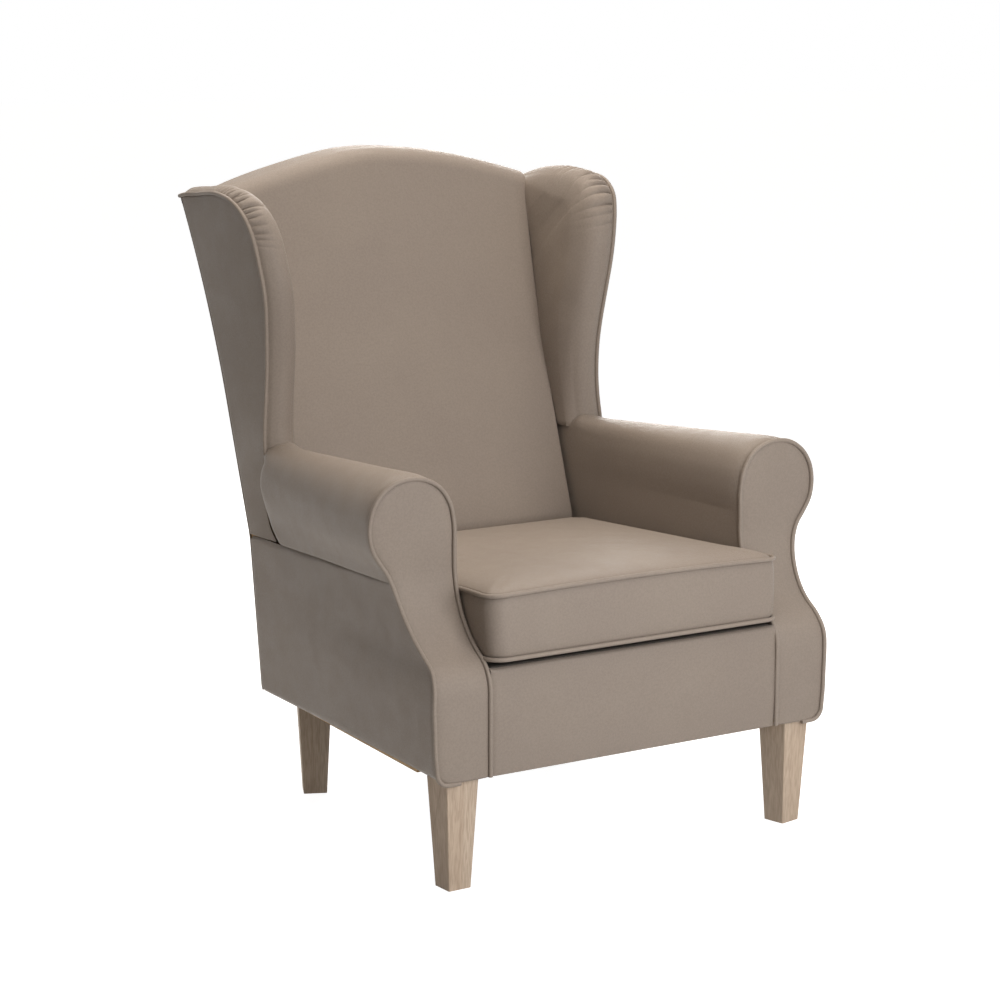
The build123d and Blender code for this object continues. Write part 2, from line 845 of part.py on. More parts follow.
with BuildPart() as arm_facing:
    add(facing_strip(0, facing_wall))
    add(arm_outline(-pipe_half - gap), mode=Mode.INTERSECT)
save_pair(arm_facing, "arm_facing")

with BuildPart() as arm_piping:
    add(facing_strip(-pipe_half, facing_wall))
    add(arm_outline(pipe_half), mode=Mode.INTERSECT)
    add(arm_outline(-pipe_half), mode=Mode.SUBTRACT)
save_pair(arm_piping, "arm_piping")

# Front border, deck, springs and dust cover
seat_half = arm_inner_x - pipe_half - gap
with BuildPart() as front_border_cover:
    with Locations((0, front_y, body_z)):
        Box(
            2 * seat_half,
            border_wall,
            border_top_z - body_z,
            align=(Align.CENTER, Align.MIN, Align.MIN),
        )
    fillet(
        front_border_cover.edges().filter_by(Axis.X).group_by(Axis.Z)[-1].sort_by(Axis.Y)[0],
        border_wall - 2,
    )
save(front_border_cover, "front_border_cover")

deck_front = border_wall + 1
deck_rear = back_post_front_y - gap - front_y
with BuildPart() as seat_deck:
    with BuildSketch(seat_plane):
        with Locations((0, (deck_front + deck_rear) / 2)):
            Rectangle(2 * seat_half, deck_rear - deck_front)
    extrude(amount=-deck_wall)
save(seat_deck, "seat_deck")

spring_plane = seat_plane.offset(-deck_wall - gap - spring_wire)
spring_front = border_wall + rail_wall / 2
spring_rear = back_post_front_y - front_y + rail_wall / 2
spring_step = (spring_rear - spring_front) / (2 * spring_loops)
clip_space = spring_wire / 2 + gap
spring_xs = [(i - (spring_count - 1) / 2) * spring_pitch for i in range(spring_count)]
with BuildPart() as seat_springs:
    for spring_x in spring_xs:
        with BuildSketch(spring_plane):
            with BuildLine():
                FilletPolyline(
                    *[
                        (spring_x + (-1) ** i * spring_amplitude, spring_front + i * spring_step)
                        for i in range(2 * spring_loops + 1)
                    ],
                    radius=spring_step / 4,
                )
            trace(line_width=spring_wire)
        extrude(amount=spring_wire)
save(seat_springs, "seat_springs")

with BuildPart() as spring_clips:
    for spring_x in spring_xs:
        for clip_y in (spring_front - clip_space - clip_deep, spring_rear + clip_space):
            with BuildSketch(spring_plane):
                with Locations((spring_x + spring_amplitude, clip_y)):
                    Rectangle(clip_wide, clip_deep, align=(Align.CENTER, Align.MIN))
            extrude(amount=spring_wire)
save(spring_clips, "spring_clips")

dust_front_y = front_y + facing_wall + gap
dust_rear_y = rear_base_y - frame_inset
notch_x = front_leg_x - dust_hole
notch_y = front_leg_y + dust_hole
with BuildPart() as dust_cover:
    add(
        plan_prism(
            [
                (notch_x, dust_front_y),
                (notch_x, notch_y),
                (base_side_x(notch_y) - side_inset, notch_y),
                (base_side_x(dust_rear_y) - side_inset, dust_rear_y),
                (-base_side_x(dust_rear_y) + side_inset, dust_rear_y),
                (-base_side_x(notch_y) + side_inset, notch_y),
                (-notch_x, notch_y),
                (-notch_x, dust_front_y),
            ],
            rail_low_z - gap - dust_wall,
            rail_low_z - gap,
        )
    )
    add(bolt_holes(dust_hole, 0, rail_low_z), mode=Mode.SUBTRACT)
save(dust_cover, "dust_cover")

# Loose seat cushion
cushion_y0 = cushion_front_y - front_y
cushion_y1 = cushion_rear_y - front_y
cushion_long = cushion_y1 - cushion_y0
cushion_middle = (cushion_y0 + cushion_y1) / 2


def cushion_slice(height, draw_in):
    """Rounded outline of the cushion at a height above the deck, drawn in from its piping line."""
    with BuildSketch(seat_plane.offset(height)) as outline:
        with Locations((0, cushion_middle)):
            RectangleRounded(
                2 * (cushion_half - draw_in),
                cushion_long - 2 * draw_in,
                cushion_corner,
            )
    return outline.sketch


def cushion_form(inset):
    """Crowned box cushion, inset all round."""
    middle = (border_low + border_high) / 2
    rise = crown_high - border_high
    low = cushion_slice(border_low, inset)
    high = cushion_slice(border_high, inset)
    with BuildPart() as form:
        loft([cushion_slice(gap + inset, inset + bottom_draw), low], ruled=True)
        loft([low, cushion_slice(middle, inset - cushion_bulge), high])
        loft(
            [
                high,
                cushion_slice(border_high + crown_rise[0] * rise - inset / 2, inset + crown_draw[0]),
                cushion_slice(border_high + crown_rise[1] * rise - inset, inset + crown_draw[1]),
                cushion_slice(crown_high - inset, inset + crown_draw[2]),
            ]
        )
    return form.part


with BuildPart() as seat_cushion_cover:
    add(cushion_form(0))
    add(cushion_form(skin), mode=Mode.SUBTRACT)
save(seat_cushion_cover, "seat_cushion_cover")

with BuildPart() as seat_cushion_foam:
    add(cushion_form(skin + gap))
save(seat_cushion_foam, "seat_cushion_foam")

for piping_name, height in (("cushion_bottom_piping", border_low), ("cushion_top_piping", border_high)):
    with BuildPart() as cushion_piping:
        with BuildSketch(seat_plane.offset(height - pipe_half)):
            with Locations((0, cushion_middle)):
                for grow, mode in ((piping_gap + pipe_wall, Mode.ADD), (piping_gap, Mode.SUBTRACT)):
                    RectangleRounded(
                        2 * (cushion_half + grow),
                        cushion_long + 2 * grow,
                        cushion_corner + grow,
                        mode=mode,
                    )
        extrude(amount=2 * pipe_half)
    save(cushion_piping, piping_name)

zip_plane = seat_plane.offset((border_low + border_high) / 2 - zip_high / 2)
zip_y = cushion_y1 + cushion_bulge + gap
with BuildPart() as cushion_zip:
    with BuildSketch(zip_plane):
        with Locations((0, zip_y)):
            Rectangle(2 * zip_half, zip_wall, align=(Align.CENTER, Align.MIN))
    extrude(amount=zip_high)
save(cushion_zip, "cushion_zip")

with BuildPart() as zip_slider:
    with BuildSketch(zip_plane.offset((zip_high - slider_long) / 2)):
        with Locations((-zip_half + slider_wide, zip_y + zip_wall + gap)):
            RectangleRounded(slider_wide, slider_deep, slider_deep / 3, align=(Align.CENTER, Align.MIN))
    extrude(amount=slider_long)
save(zip_slider, "zip_slider")
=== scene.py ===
# %% [markdown]
# # High back wing armchair
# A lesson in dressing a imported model. The chair's solids are loaded as a fixed frame. Each soft piece
# is then modelled again in the same place, with the fullness, seams and pleats of real upholstery, and
# every surface gets a material made of nodes. Sizes are in millimetres, in the frame of the model: +Z
# is up, the front faces -Y and right is +X.

# %% Set-up
import json
import math

import bmesh
import bpy
import numpy as np
from mathutils import Matrix, Vector, kdtree


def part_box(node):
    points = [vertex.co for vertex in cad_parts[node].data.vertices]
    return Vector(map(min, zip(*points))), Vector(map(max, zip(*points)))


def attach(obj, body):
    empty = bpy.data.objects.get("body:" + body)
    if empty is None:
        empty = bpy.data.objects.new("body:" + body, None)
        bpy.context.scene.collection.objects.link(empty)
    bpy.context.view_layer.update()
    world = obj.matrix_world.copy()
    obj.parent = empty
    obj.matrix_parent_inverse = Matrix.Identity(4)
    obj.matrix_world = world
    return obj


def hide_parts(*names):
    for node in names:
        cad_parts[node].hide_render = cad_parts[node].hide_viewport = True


MM = 0.001
SIDES = (("left", -1.0), ("right", 1.0))
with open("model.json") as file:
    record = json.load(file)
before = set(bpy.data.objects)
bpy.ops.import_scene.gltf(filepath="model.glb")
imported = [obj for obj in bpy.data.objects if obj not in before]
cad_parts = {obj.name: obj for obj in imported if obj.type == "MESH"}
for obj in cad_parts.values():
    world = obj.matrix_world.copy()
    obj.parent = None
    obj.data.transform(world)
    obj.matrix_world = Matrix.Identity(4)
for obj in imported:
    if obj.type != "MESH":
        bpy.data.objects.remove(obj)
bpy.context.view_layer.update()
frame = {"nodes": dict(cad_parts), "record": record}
slot_of = {part["node"]: part["material_slot"] for part in frame["record"]["subparts"]}

# %% [markdown]
# ## Outline of the back
# From the side, the outside back stands almost upright and then leans away. From the front, the wings
# run straight and then flare on an arc. These lines could be traced with curve objects. Small functions
# are used here, because every cover that meets the line can then ask for it at any height.

# %% Outside back and wings
BODY_Z, COVER_LOW_Z = 170.0, 171.0
FRONT_Y = -422.0
REAR_BASE_Y, REAR_BEND_Y, BEND_Z = 231.0, 248.0, 431.0
REAR_SLOPE = math.tan(math.radians(16.5))
REAR_BASE_X, REAR_BEND_X = 306.0, 315.0
STRAIGHT_X, STRAIGHT_Z = 320.0, 650.0
FLARE_X, FLARE_Z = 366.0, 1090.0


def rear_y(z):
    """Depth of the outside back at a height."""
    low = REAR_BASE_Y + (REAR_BEND_Y - REAR_BASE_Y) * (z - BODY_Z) / (BEND_Z - BODY_Z)
    return np.where(z < BEND_Z, low, REAR_BEND_Y + (z - BEND_Z) * REAR_SLOPE)


def side_x(z):
    """Half width of the wings and the rear edge at a height: straight at first, then flaring on an arc."""
    low = REAR_BASE_X + (REAR_BEND_X - REAR_BASE_X) * (z - BODY_Z) / (BEND_Z - BODY_Z)
    lean = (STRAIGHT_X - REAR_BEND_X) / (STRAIGHT_Z - BEND_Z)
    middle = REAR_BEND_X + lean * (z - BEND_Z)
    across = np.array([1.0, -lean]) / math.hypot(1.0, lean)
    chord = np.array([FLARE_X - STRAIGHT_X, FLARE_Z - STRAIGHT_Z])
    radius = chord @ chord / (2 * chord @ across)
    centre = np.array([STRAIGHT_X, STRAIGHT_Z]) + radius * across
    flare = centre[0] - np.sqrt(radius**2 - (z - centre[1]) ** 2)
    return np.where(z < BEND_Z, low, np.where(z < STRAIGHT_Z, middle, flare))


print("depth and half width at the top:", [round(float(line(1000.0))) for line in (rear_y, side_x)])

# %% Arched top
SHOULDER_X, SHOULDER_Z, ARCH_Z = 300.0, 1005.0, 1060.0
CORNER_X, CORNER_Z = 350.0, 984.0
ARCH_SAG, SAG_LEAN = 8.0, 6.0  # the padding has settled, more on the left than on the right
RIGHT_LIFT = 6.0


def arch_z(x):
    """Top of the back across its width."""
    radius = (SHOULDER_X**2 + (ARCH_Z - SHOULDER_Z) ** 2) / (2 * (ARCH_Z - SHOULDER_Z))
    inside = np.clip(np.abs(x), 0, SHOULDER_X)
    arc = ARCH_Z - radius + np.sqrt(radius**2 - inside**2)
    beyond = np.clip(np.abs(x) - SHOULDER_X, 0, None)
    drop = (ARCH_SAG - SAG_LEAN * np.tanh(x / 70.0)) * (1 - np.exp(-((x / 120.0) ** 2)))
    drop -= RIGHT_LIFT * np.clip((x - 170.0) / 130.0, 0, 1) ** 2
    return arc - drop - beyond * (SHOULDER_Z - CORNER_Z - drop) / (CORNER_X - SHOULDER_X)


print("arch at the left, middle and right:", [round(float(arch_z(x))) for x in (-250.0, 0.0, 250.0)])

# %% [markdown]
# ## Helpers for upholstery
# An upholsterer works with lines that are drawn by eye, panels that dip into their seams, and padding
# that is never quite even. These helpers do the same: a smooth line through a few points, rows that
# crowd together at a seam, and slow waves. The panels could be sculpted by hand, but a grid whose
# points are placed by such rules can be changed later by changing one number.

# %% Smooth lines
def even(curve, count):
    """Evenly spaced points along a fine polyline."""
    run = np.concatenate([[0], np.cumsum(np.linalg.norm(np.diff(curve, axis=0), axis=1))])
    at = np.linspace(0, run[-1], count)
    return np.stack([np.interp(at, run, curve[:, k]) for k in range(curve.shape[1])], axis=1)


def smooth_path(points, count):
    """Evenly spaced points on a smooth curve through the given ones."""
    p = np.array(points, float)
    knots = np.concatenate([[0], np.cumsum(np.linalg.norm(np.diff(p, axis=0), axis=1))])
    slopes = np.gradient(p, knots, axis=0)
    fine = np.linspace(0, knots[-1], 40 * len(p))
    i = np.clip(np.searchsorted(knots, fine, side="right") - 1, 0, len(p) - 2)
    h = (knots[i + 1] - knots[i])[:, None]
    t = (fine - knots[i])[:, None] / h
    start = (2 * t**3 - 3 * t**2 + 1) * p[i] + (t**3 - 2 * t**2 + t) * h * slopes[i]
    end = (3 * t**2 - 2 * t**3) * p[i + 1] + (t**3 - t**2) * h * slopes[i + 1]
    return even(start + end, count)


print("a smooth line:", smooth_path([(0, 0), (10, 4), (20, 0)], 5).round(1).tolist())

# %% Seams and padding
def edged(count, edge=0.012):
    """Shares from 0 to 1 with extra rows close to both ends, for a tucked seam."""
    near = np.array([0, 0.2, 0.5, 1.0, 1.8]) * edge
    middle = np.linspace(2.8 * edge, 1 - 2.8 * edge, count)
    return np.concatenate([near, middle, 1 - near[::-1]])


def tuck(share, span, depth=2.5, reach=4.0):
    """How far a cover dips into the seams at both ends of a run."""
    at = np.minimum(share, 1 - share) * span
    return depth * np.exp(-((at / reach) ** 2))


def waves(a, b, seed, size):
    """Slow unevenness of hand-laid padding, between -1 and 1."""
    rng = np.random.default_rng(seed)
    total = 0
    for _ in range(5):
        ka, kb = rng.uniform(-1, 1, 2) * 2 * math.pi / size
        total = total + np.sin(ka * a + kb * b + rng.uniform(0, 2 * math.pi))
    return total / 5


print("a seam dips by", [round(float(tuck(s, 100.0)), 2) for s in (0.0, 0.02, 0.05, 0.1)])

# %% Covers and walls
COVER_WALL = 2.0


def surface(name, rows, inside, wrap=False):
    """Grid laid over rows of points, facing away from the inside point. A wrapped one is closed."""
    rows = np.asarray(rows, float)
    if wrap:
        rows = np.concatenate([rows, rows[:, :1]], axis=1)
    down, along = rows.shape[0] - 1, rows.shape[1] - 1
    bm = bmesh.new()
    bmesh.ops.create_grid(bm, x_segments=along, y_segments=down, size=0.5)
    for vertex in bm.verts:
        i, j = round((vertex.co.y + 0.5) * down), round((vertex.co.x + 0.5) * along)
        vertex.co = rows[i, j] * MM
    bmesh.ops.remove_doubles(bm, verts=bm.verts, dist=1e-5)
    if wrap:
        rims = [edge for edge in bm.edges if edge.is_boundary]
        lids = bmesh.ops.holes_fill(bm, edges=rims, sides=0)["faces"]
        bmesh.ops.poke(bm, faces=lids, center_mode="MEAN")
    bmesh.ops.recalc_face_normals(bm, faces=bm.faces)
    middle = Vector(inside) * MM
    outward = sum(f.normal.dot(f.calc_center_median() - middle) * f.calc_area() for f in bm.faces)
    if outward < 0:
        bmesh.ops.reverse_faces(bm, faces=bm.faces)
    return keep(name, bm)


def keep(name, bm, smooth=True):
    """Turns a finished bmesh into an object at the origin."""
    mesh = bpy.data.meshes.new(name)
    bm.to_mesh(mesh)
    bm.free()
    if smooth:
        mesh.shade_smooth()
    obj = bpy.data.objects.new(name, mesh)
    bpy.context.collection.objects.link(obj)
    return obj


def thicken(obj, wall=COVER_WALL):
    """Gives a cover its wall, towards the inside."""
    modifier = obj.modifiers.new("wall", "SOLIDIFY")
    modifier.thickness = wall * MM
    modifier.offset = -1
    return obj


print("a cover is", COVER_WALL, "mm thick")

# %% Piping
PIPE = 3.4


def tube(name, points, closed=False):
    """Round self piping along a line of points."""
    curve = bpy.data.curves.new(name, "CURVE")
    curve.dimensions = "3D"
    curve.bevel_depth = PIPE * MM
    curve.bevel_resolution = 3
    curve.use_fill_caps = True
    spline = curve.splines.new("POLY")
    spline.points.add(len(points) - 1)
    for place, p in zip(spline.points, points):
        place.co = (*(Vector(p) * MM), 1)
    spline.use_cyclic_u = closed
    spline.use_smooth = True
    obj = bpy.data.objects.new(name, curve)
    bpy.context.collection.objects.link(obj)
    return obj


print("piping is", 2 * PIPE, "mm thick")

# %% Dressing a piece
def dress(obj, material, body, *nodes, fill=None):
    """Gives a piece its material and its body, and hides and prints the nodes that it stands for."""
    obj.data.materials.clear()
    obj.data.materials.append(material)
    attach(obj, body)
    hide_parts(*nodes)
    print(obj.name, "rides", body, "and stands for", ", ".join(nodes))
    return obj


print(len(set(slot_of.values())), "material slots in the record")

# %% [markdown]
# ## Colours and nodes
# A colour is easiest to judge as an sRGB hex code, as it should look, while shaders want it linear. A
# node tree can be built call by call. One small function that adds a node with its settings and links
# keeps a material short enough to read like a recipe. Pattern sizes are given in millimetres.

# %% Colours and nodes
def linear(code):
    """Linear colour from an sRGB hex code."""
    parts = [int(code[i : i + 2], 16) / 255 for i in (0, 2, 4)]
    return (*[v / 12.92 if v <= 0.04045 else ((v + 0.055) / 1.055) ** 2.4 for v in parts], 1.0)


def add(tree, kind, inputs, **settings):
    """Adds a node, or finds the one of that name, with its settings, and its inputs as values or links."""
    node = tree.nodes.get(kind) or tree.nodes.new(kind)
    for key, value in settings.items():
        setattr(node, key, value)
    for key, value in inputs.items():
        if isinstance(value, bpy.types.NodeSocket):
            tree.links.new(value, node.inputs[key])
        else:
            node.inputs[key].default_value = value
    return node


def new_material(name):
    """Material with its node tree and its Object coordinates."""
    made = bpy.data.materials.new(name)
    made.use_nodes = True
    return made, made.node_tree, add(made.node_tree, "ShaderNodeTexCoord", {}).outputs["Object"]


def per_mm(size):
    """Texture scale that gives features of about so many millimetres."""
    return 1 / (size * MM)


print("mid grey 808080 is", round(linear("808080")[0], 3), "in linear light")

# %% [markdown]
# ## Leatherette
# The cover is leatherette: a knitted cloth with a soft vinyl coat that was embossed with a pebble
# grain. To the eye it is matt, with a faint broad gloss; the valleys of the grain get painted shade,
# a darker colour. It could be an image texture, but noise and Voronoi cells on Object coordinates need
# no unwrapping and run over every panel at one size. The real pebbles are about 0.6 mm, too fine to
# show, so they are drawn at 1.6 mm.

# %% Leatherette
PATCH, MOTTLE, PEBBLE, WORN, DENT = 143.0, 3.333, 1.613, 38.5, 16.67


def leatherette(name, dark, light, grain):
    """Embossed vinyl cover. The grain is the depth of its bump in millimetres."""
    made, tree, place = new_material(name)
    slow = add(tree, "ShaderNodeTexNoise", {"Vector": place, "Scale": per_mm(PATCH), "Detail": 4.0})
    tone = add(tree, "ShaderNodeMapRange", {"Value": slow.outputs[0], "From Min": 0.3, "From Max": 0.7})
    base = {0: tone.outputs[0], 6: linear(dark), 7: linear(light)}
    base = add(tree, "ShaderNodeMix", base, data_type="RGBA")
    # Fine mottling of the coat
    spots = add(tree, "ShaderNodeTexNoise", {"Vector": place, "Scale": per_mm(MOTTLE), "Detail": 3.0})
    share = {"Value": spots.outputs[0], "From Min": 0.38, "From Max": 0.62, "To Max": 0.16}
    share = add(tree, "ShaderNodeMapRange", share)
    base = {0: share.outputs[0], 6: base.outputs[2], 7: linear("6a5f55")}
    base = add(tree, "ShaderNodeMix", base, data_type="RGBA")
    # Painted shade: the valleys between the pebbles are mixed towards a darker colour
    pebble = {"Vector": place, "Scale": per_mm(PEBBLE)}
    pebble = add(tree, "ShaderNodeTexVoronoi", pebble, feature="DISTANCE_TO_EDGE")
    valley = add(tree, "ShaderNodeMapRange", {"Value": pebble.outputs[0], "From Max": 0.12})
    share = {"Value": valley.outputs[0], "To Min": 0.12, "To Max": 0.0}
    share = add(tree, "ShaderNodeMapRange", share)
    base = {0: share.outputs[0], 6: base.outputs[2], 7: linear("5f554c")}
    base = add(tree, "ShaderNodeMix", base, data_type="RGBA")
    # Gloss that changes slowly, and soft dents under the grain
    worn = add(tree, "ShaderNodeTexNoise", {"Vector": place, "Scale": per_mm(WORN), "Detail": 5.0})
    rough = {"Value": worn.outputs[0], "From Min": 0.3, "From Max": 0.7, "To Min": 0.44, "To Max": 0.54}
    rough = add(tree, "ShaderNodeMapRange", rough)
    dents = add(tree, "ShaderNodeTexNoise", {"Vector": place, "Scale": per_mm(DENT), "Detail": 4.0})
    soft = add(tree, "ShaderNodeBump", {"Height": dents.outputs[0], "Distance": 1.2 * MM, "Strength": 0.25})
    normal = {"Height": valley.outputs[0], "Distance": grain * MM, "Strength": 0.5}
    normal = add(tree, "ShaderNodeBump", normal | {"Normal": soft.outputs[0]})
    links = {"Base Color": base.outputs[2], "Roughness": rough.outputs[0], "Normal": normal.outputs[0]}
    gloss = {"Specular IOR Level": 0.26, "Sheen Weight": 0.06, "Sheen Roughness": 0.45}
    add(tree, "Principled BSDF", links | gloss)
    return made


cover = leatherette("leatherette", "8d8075", "918478", 0.35)
# The piping is the cover made a little lighter: a painted highlight along every welt
piping = leatherette("leatherette_piping_painted_highlight", "8e8176", "94877b", 0.2)
print(cover.name, "has", len(cover.node_tree.nodes), "nodes")

# %% [markdown]
# ## Washed oak
# The legs are solid oak, glued from staves, sanded and given a pale wash. The eye sees staves of
# slightly different tones, a long figure and fine dark pores along the leg. Wood is often a stretched
# wave pattern; here each stave gets its own random tone and its own piece of noise, stretched along the
# leg, so that the figure stops at the glue line as it does in a real leg. Real pores are under 0.5 mm
# wide and are drawn at 1.6 mm.

# %% Washed oak
STAVE, FIGURE, PORE, GRAIN_STRETCH = 32.258, 10.526, 1.5625, 0.045


def washed_oak(name, pale, tan, turn):
    """Oak staves side by side, turned so far about the leg."""
    made, tree, place = new_material(name)
    turned = add(tree, "ShaderNodeMapping", {"Vector": place, "Rotation": (0.0, 0.0, turn)})
    split = add(tree, "ShaderNodeSeparateXYZ", {0: turned.outputs[0]})
    across = {0: split.outputs["X"], 1: per_mm(STAVE)}
    across = add(tree, "ShaderNodeMath", across, operation="MULTIPLY")
    stave = add(tree, "ShaderNodeMath", {0: across.outputs[0]}, operation="FLOOR")
    pick = add(tree, "ShaderNodeTexWhiteNoise", {}, noise_dimensions="1D")
    tree.links.new(stave.outputs[0], pick.inputs["W"])
    shift = {0: pick.outputs["Color"], 1: (0.4, 0.7, 3.0), 2: place}
    shift = add(tree, "ShaderNodeVectorMath", shift, operation="MULTIPLY_ADD")
    grain = {0: shift.outputs[0], 1: (1.0, 1.0, GRAIN_STRETCH)}
    grain = add(tree, "ShaderNodeVectorMath", grain, operation="MULTIPLY").outputs[0]
    figure = {"Vector": grain, "Scale": per_mm(FIGURE), "Detail": 3.0, "Distortion": 1.2}
    figure = add(tree, "ShaderNodeTexNoise", figure)
    pores = {"Vector": grain, "Scale": per_mm(PORE), "Detail": 2.0, "Distortion": 0.3}
    pores = add(tree, "ShaderNodeTexNoise", pores)
    edge = add(tree, "ShaderNodeMath", {0: across.outputs[0], 1: 0.5}, operation="PINGPONG")
    # Each layer: what steers it, the range that it spans, its share at both ends, and its colour
    base = linear(pale)
    for steer, low, high, start, end, code in (
        (figure.outputs[0], 0.3, 0.7, 0.0, 1.0, tan),
        (pick.outputs["Value"], 0.0, 1.0, 0.0, 0.34, "d3c3b0"),
        (pores.outputs[0], 0.42, 0.62, 0.0, 0.42, "8d7763"),
        (edge.outputs[0], 0.0, 0.012, 0.3, 0.0, "7d6754"),
    ):
        share = {"Value": steer, "From Min": low, "From Max": high, "To Min": start, "To Max": end}
        share = add(tree, "ShaderNodeMapRange", share)
        layer = {0: share.outputs[0], 6: base, 7: linear(code)}
        base = add(tree, "ShaderNodeMix", layer, data_type="RGBA").outputs[2]
    rough = {"Value": pores.outputs[0], "From Min": 0.3, "From Max": 0.7, "To Min": 0.52, "To Max": 0.64}
    rough = add(tree, "ShaderNodeMapRange", rough)
    normal = {"Height": pores.outputs[0], "Distance": 0.3 * MM, "Strength": 0.4}
    normal = add(tree, "ShaderNodeBump", normal)
    links = {"Base Color": base, "Roughness": rough.outputs[0], "Normal": normal.outputs[0]}
    add(tree, "Principled BSDF", links)
    return made


legs_oak = washed_oak("washed_oak", "bba58f", "a8917b", 0.12)
print(legs_oak.name, "has staves of", round(STAVE), "mm")

# %% [markdown]
# ## Frame timber, cloths, metal and plastic
# Most of these are hidden: sawn beech and plywood in the frame, woven polypropylene under the seat,
# zinc-plated steel and moulded plastic. Each still gets a finish of its own, because the model can be
# taken apart. The wood is straight-grained noise, a weave is two crossed waves at its thread spacing,
# and metal and plastic are one colour with faint handling marks.

# %% Frame timber
LINE_WIDE, LINE_LONG = 12.346, 74.07


def frame_timber(name, pale, tan):
    """Sawn frame wood with a straight grain."""
    made, tree, place = new_material(name)
    size = (per_mm(LINE_WIDE), per_mm(LINE_LONG), per_mm(LINE_LONG))
    place = add(tree, "ShaderNodeMapping", {"Vector": place, "Scale": size}).outputs[0]
    lines = {"Vector": place, "Scale": 1.0, "Detail": 6.0, "Distortion": 0.8}
    lines = add(tree, "ShaderNodeTexNoise", lines).outputs[0]
    share = add(tree, "ShaderNodeMapRange", {"Value": lines, "From Min": 0.3, "From Max": 0.7})
    base = {0: share.outputs[0], 6: linear(pale), 7: linear(tan)}
    base = add(tree, "ShaderNodeMix", base, data_type="RGBA")
    normal = add(tree, "ShaderNodeBump", {"Height": lines, "Distance": 0.6 * MM, "Strength": 0.4})
    links = {"Base Color": base.outputs[2], "Normal": normal.outputs[0]}
    add(tree, "Principled BSDF", links | {"Roughness": 0.65})
    return made


beech = frame_timber("frame_timber", "cfae82", "b38f63")
plywood = frame_timber("plywood", "d8bb8e", "bd9a6a")
print(beech.name, "and", plywood.name)

# %% Woven cloths
WAVE_LENGTH = 314.0  # a wave texture of scale 1 repeats after so many millimetres


def woven(name, dark, light, thread):
    """Plain weave of two sets of threads, so many millimetres apart."""
    made, tree, place = new_material(name)
    threads = []
    for direction in ("X", "Y"):
        wave = {"Vector": place, "Scale": WAVE_LENGTH / thread, "Distortion": 0.6}
        wave = add(tree, "ShaderNodeTexWave", wave, wave_type="BANDS", bands_direction=direction)
        threads.append(wave.outputs["Fac"])
    cloth = add(tree, "ShaderNodeMath", dict(enumerate(threads)), operation="MULTIPLY").outputs[0]
    stains = add(tree, "ShaderNodeTexNoise", {"Vector": place, "Scale": per_mm(33.33), "Detail": 4.0})
    tone = add(tree, "ShaderNodeMath", {0: cloth, 1: stains.outputs[0]}, operation="ADD")
    share = add(tree, "ShaderNodeMapRange", {"Value": tone.outputs[0], "From Min": 0.35, "From Max": 1.0})
    base = {0: share.outputs[0], 6: linear(dark), 7: linear(light)}
    base = add(tree, "ShaderNodeMix", base, data_type="RGBA")
    normal = add(tree, "ShaderNodeBump", {"Height": cloth, "Distance": 0.5 * MM, "Strength": 0.5})
    links = {"Base Color": base.outputs[2], "Normal": normal.outputs[0]}
    add(tree, "Principled BSDF", links | {"Roughness": 0.85})
    return made


deck_cloth = woven("deck_cloth", "4b453f", "5d564f", 1.1)
dust_cloth = woven("dust_cloth", "1d1c1b", "2a2928", 1.4)
webbing = woven("webbing", "2b2926", "3a3733", 3.0)
zip_tape = woven("zip_tape", "6c6259", "7d7268", 0.8)
print("wave scale of the deck cloth:", round(WAVE_LENGTH / 1.1))

# %% Metal, plastic and foam
def even_finish(name, code, roughness, metallic=0.0, mark=16.67):
    """One colour with faint marks of so many millimetres."""
    made, tree, place = new_material(name)
    marks = {"Vector": place, "Scale": per_mm(mark), "Detail": 5.0}
    marks = add(tree, "ShaderNodeTexNoise", marks).outputs[0]
    shade = linear(code)
    dark = (*[v * 0.82 for v in shade[:3]], 1.0)
    share = add(tree, "ShaderNodeMapRange", {"Value": marks, "From Min": 0.35, "From Max": 0.65})
    base = add(tree, "ShaderNodeMix", {0: share.outputs[0], 6: dark, 7: shade}, data_type="RGBA")
    rough = {"Value": marks, "From Min": 0.3, "From Max": 0.7}
    rough |= {"To Min": roughness * 0.8, "To Max": roughness * 1.2}
    rough = add(tree, "ShaderNodeMapRange", rough)
    normal = add(tree, "ShaderNodeBump", {"Height": marks, "Distance": 0.2 * MM, "Strength": 0.3})
    links = {"Base Color": base.outputs[2], "Roughness": rough.outputs[0], "Normal": normal.outputs[0]}
    add(tree, "Principled BSDF", links | {"Metallic": metallic})
    return made


zip_metal = even_finish("zip_metal", "9b9894", 0.3, 1.0)
print(zip_metal.name, "has", len(zip_metal.node_tree.nodes), "nodes")

# %% Materials by slot
looks = {
    "leatherette": cover,
    "padded_leatherette": cover,
    "piping": piping,
    "cushion_foam": even_finish("foam", "e8dfc4", 0.9, 0.0, 2.5),
    "oak": legs_oak,
    "frame_timber": beech,
    "wing_plywood": plywood,
    "deck_cloth": deck_cloth,
    "steel": even_finish("zinc_steel", "a9aaab", 0.38, 1.0),
    "webbing": webbing,
    "dust_cloth": dust_cloth,
    "glide_plastic": even_finish("glide_plastic", "2c2b2a", 0.55),
    "zip_tape": zip_tape,
    "zip_metal": zip_metal,
}
for node, obj in frame["nodes"].items():
    obj.data.materials.clear()
    obj.data.materials.append(looks[slot_of[node]])
print(len(looks), "slots have a material")

# %% [markdown]
# ## Loose seat cushion
# A box cushion: foam in a cover with a border all round, piped along its top and bottom edges and
# zipped at the rear. A bevelled cube with a subdivision surface would come close. Rings of points are
# used instead, because the crown, the grooves beside the piping and the wider front can then be set
# exactly. A short cloth simulation with pressure swells the top, while the border and the underside are
# held.

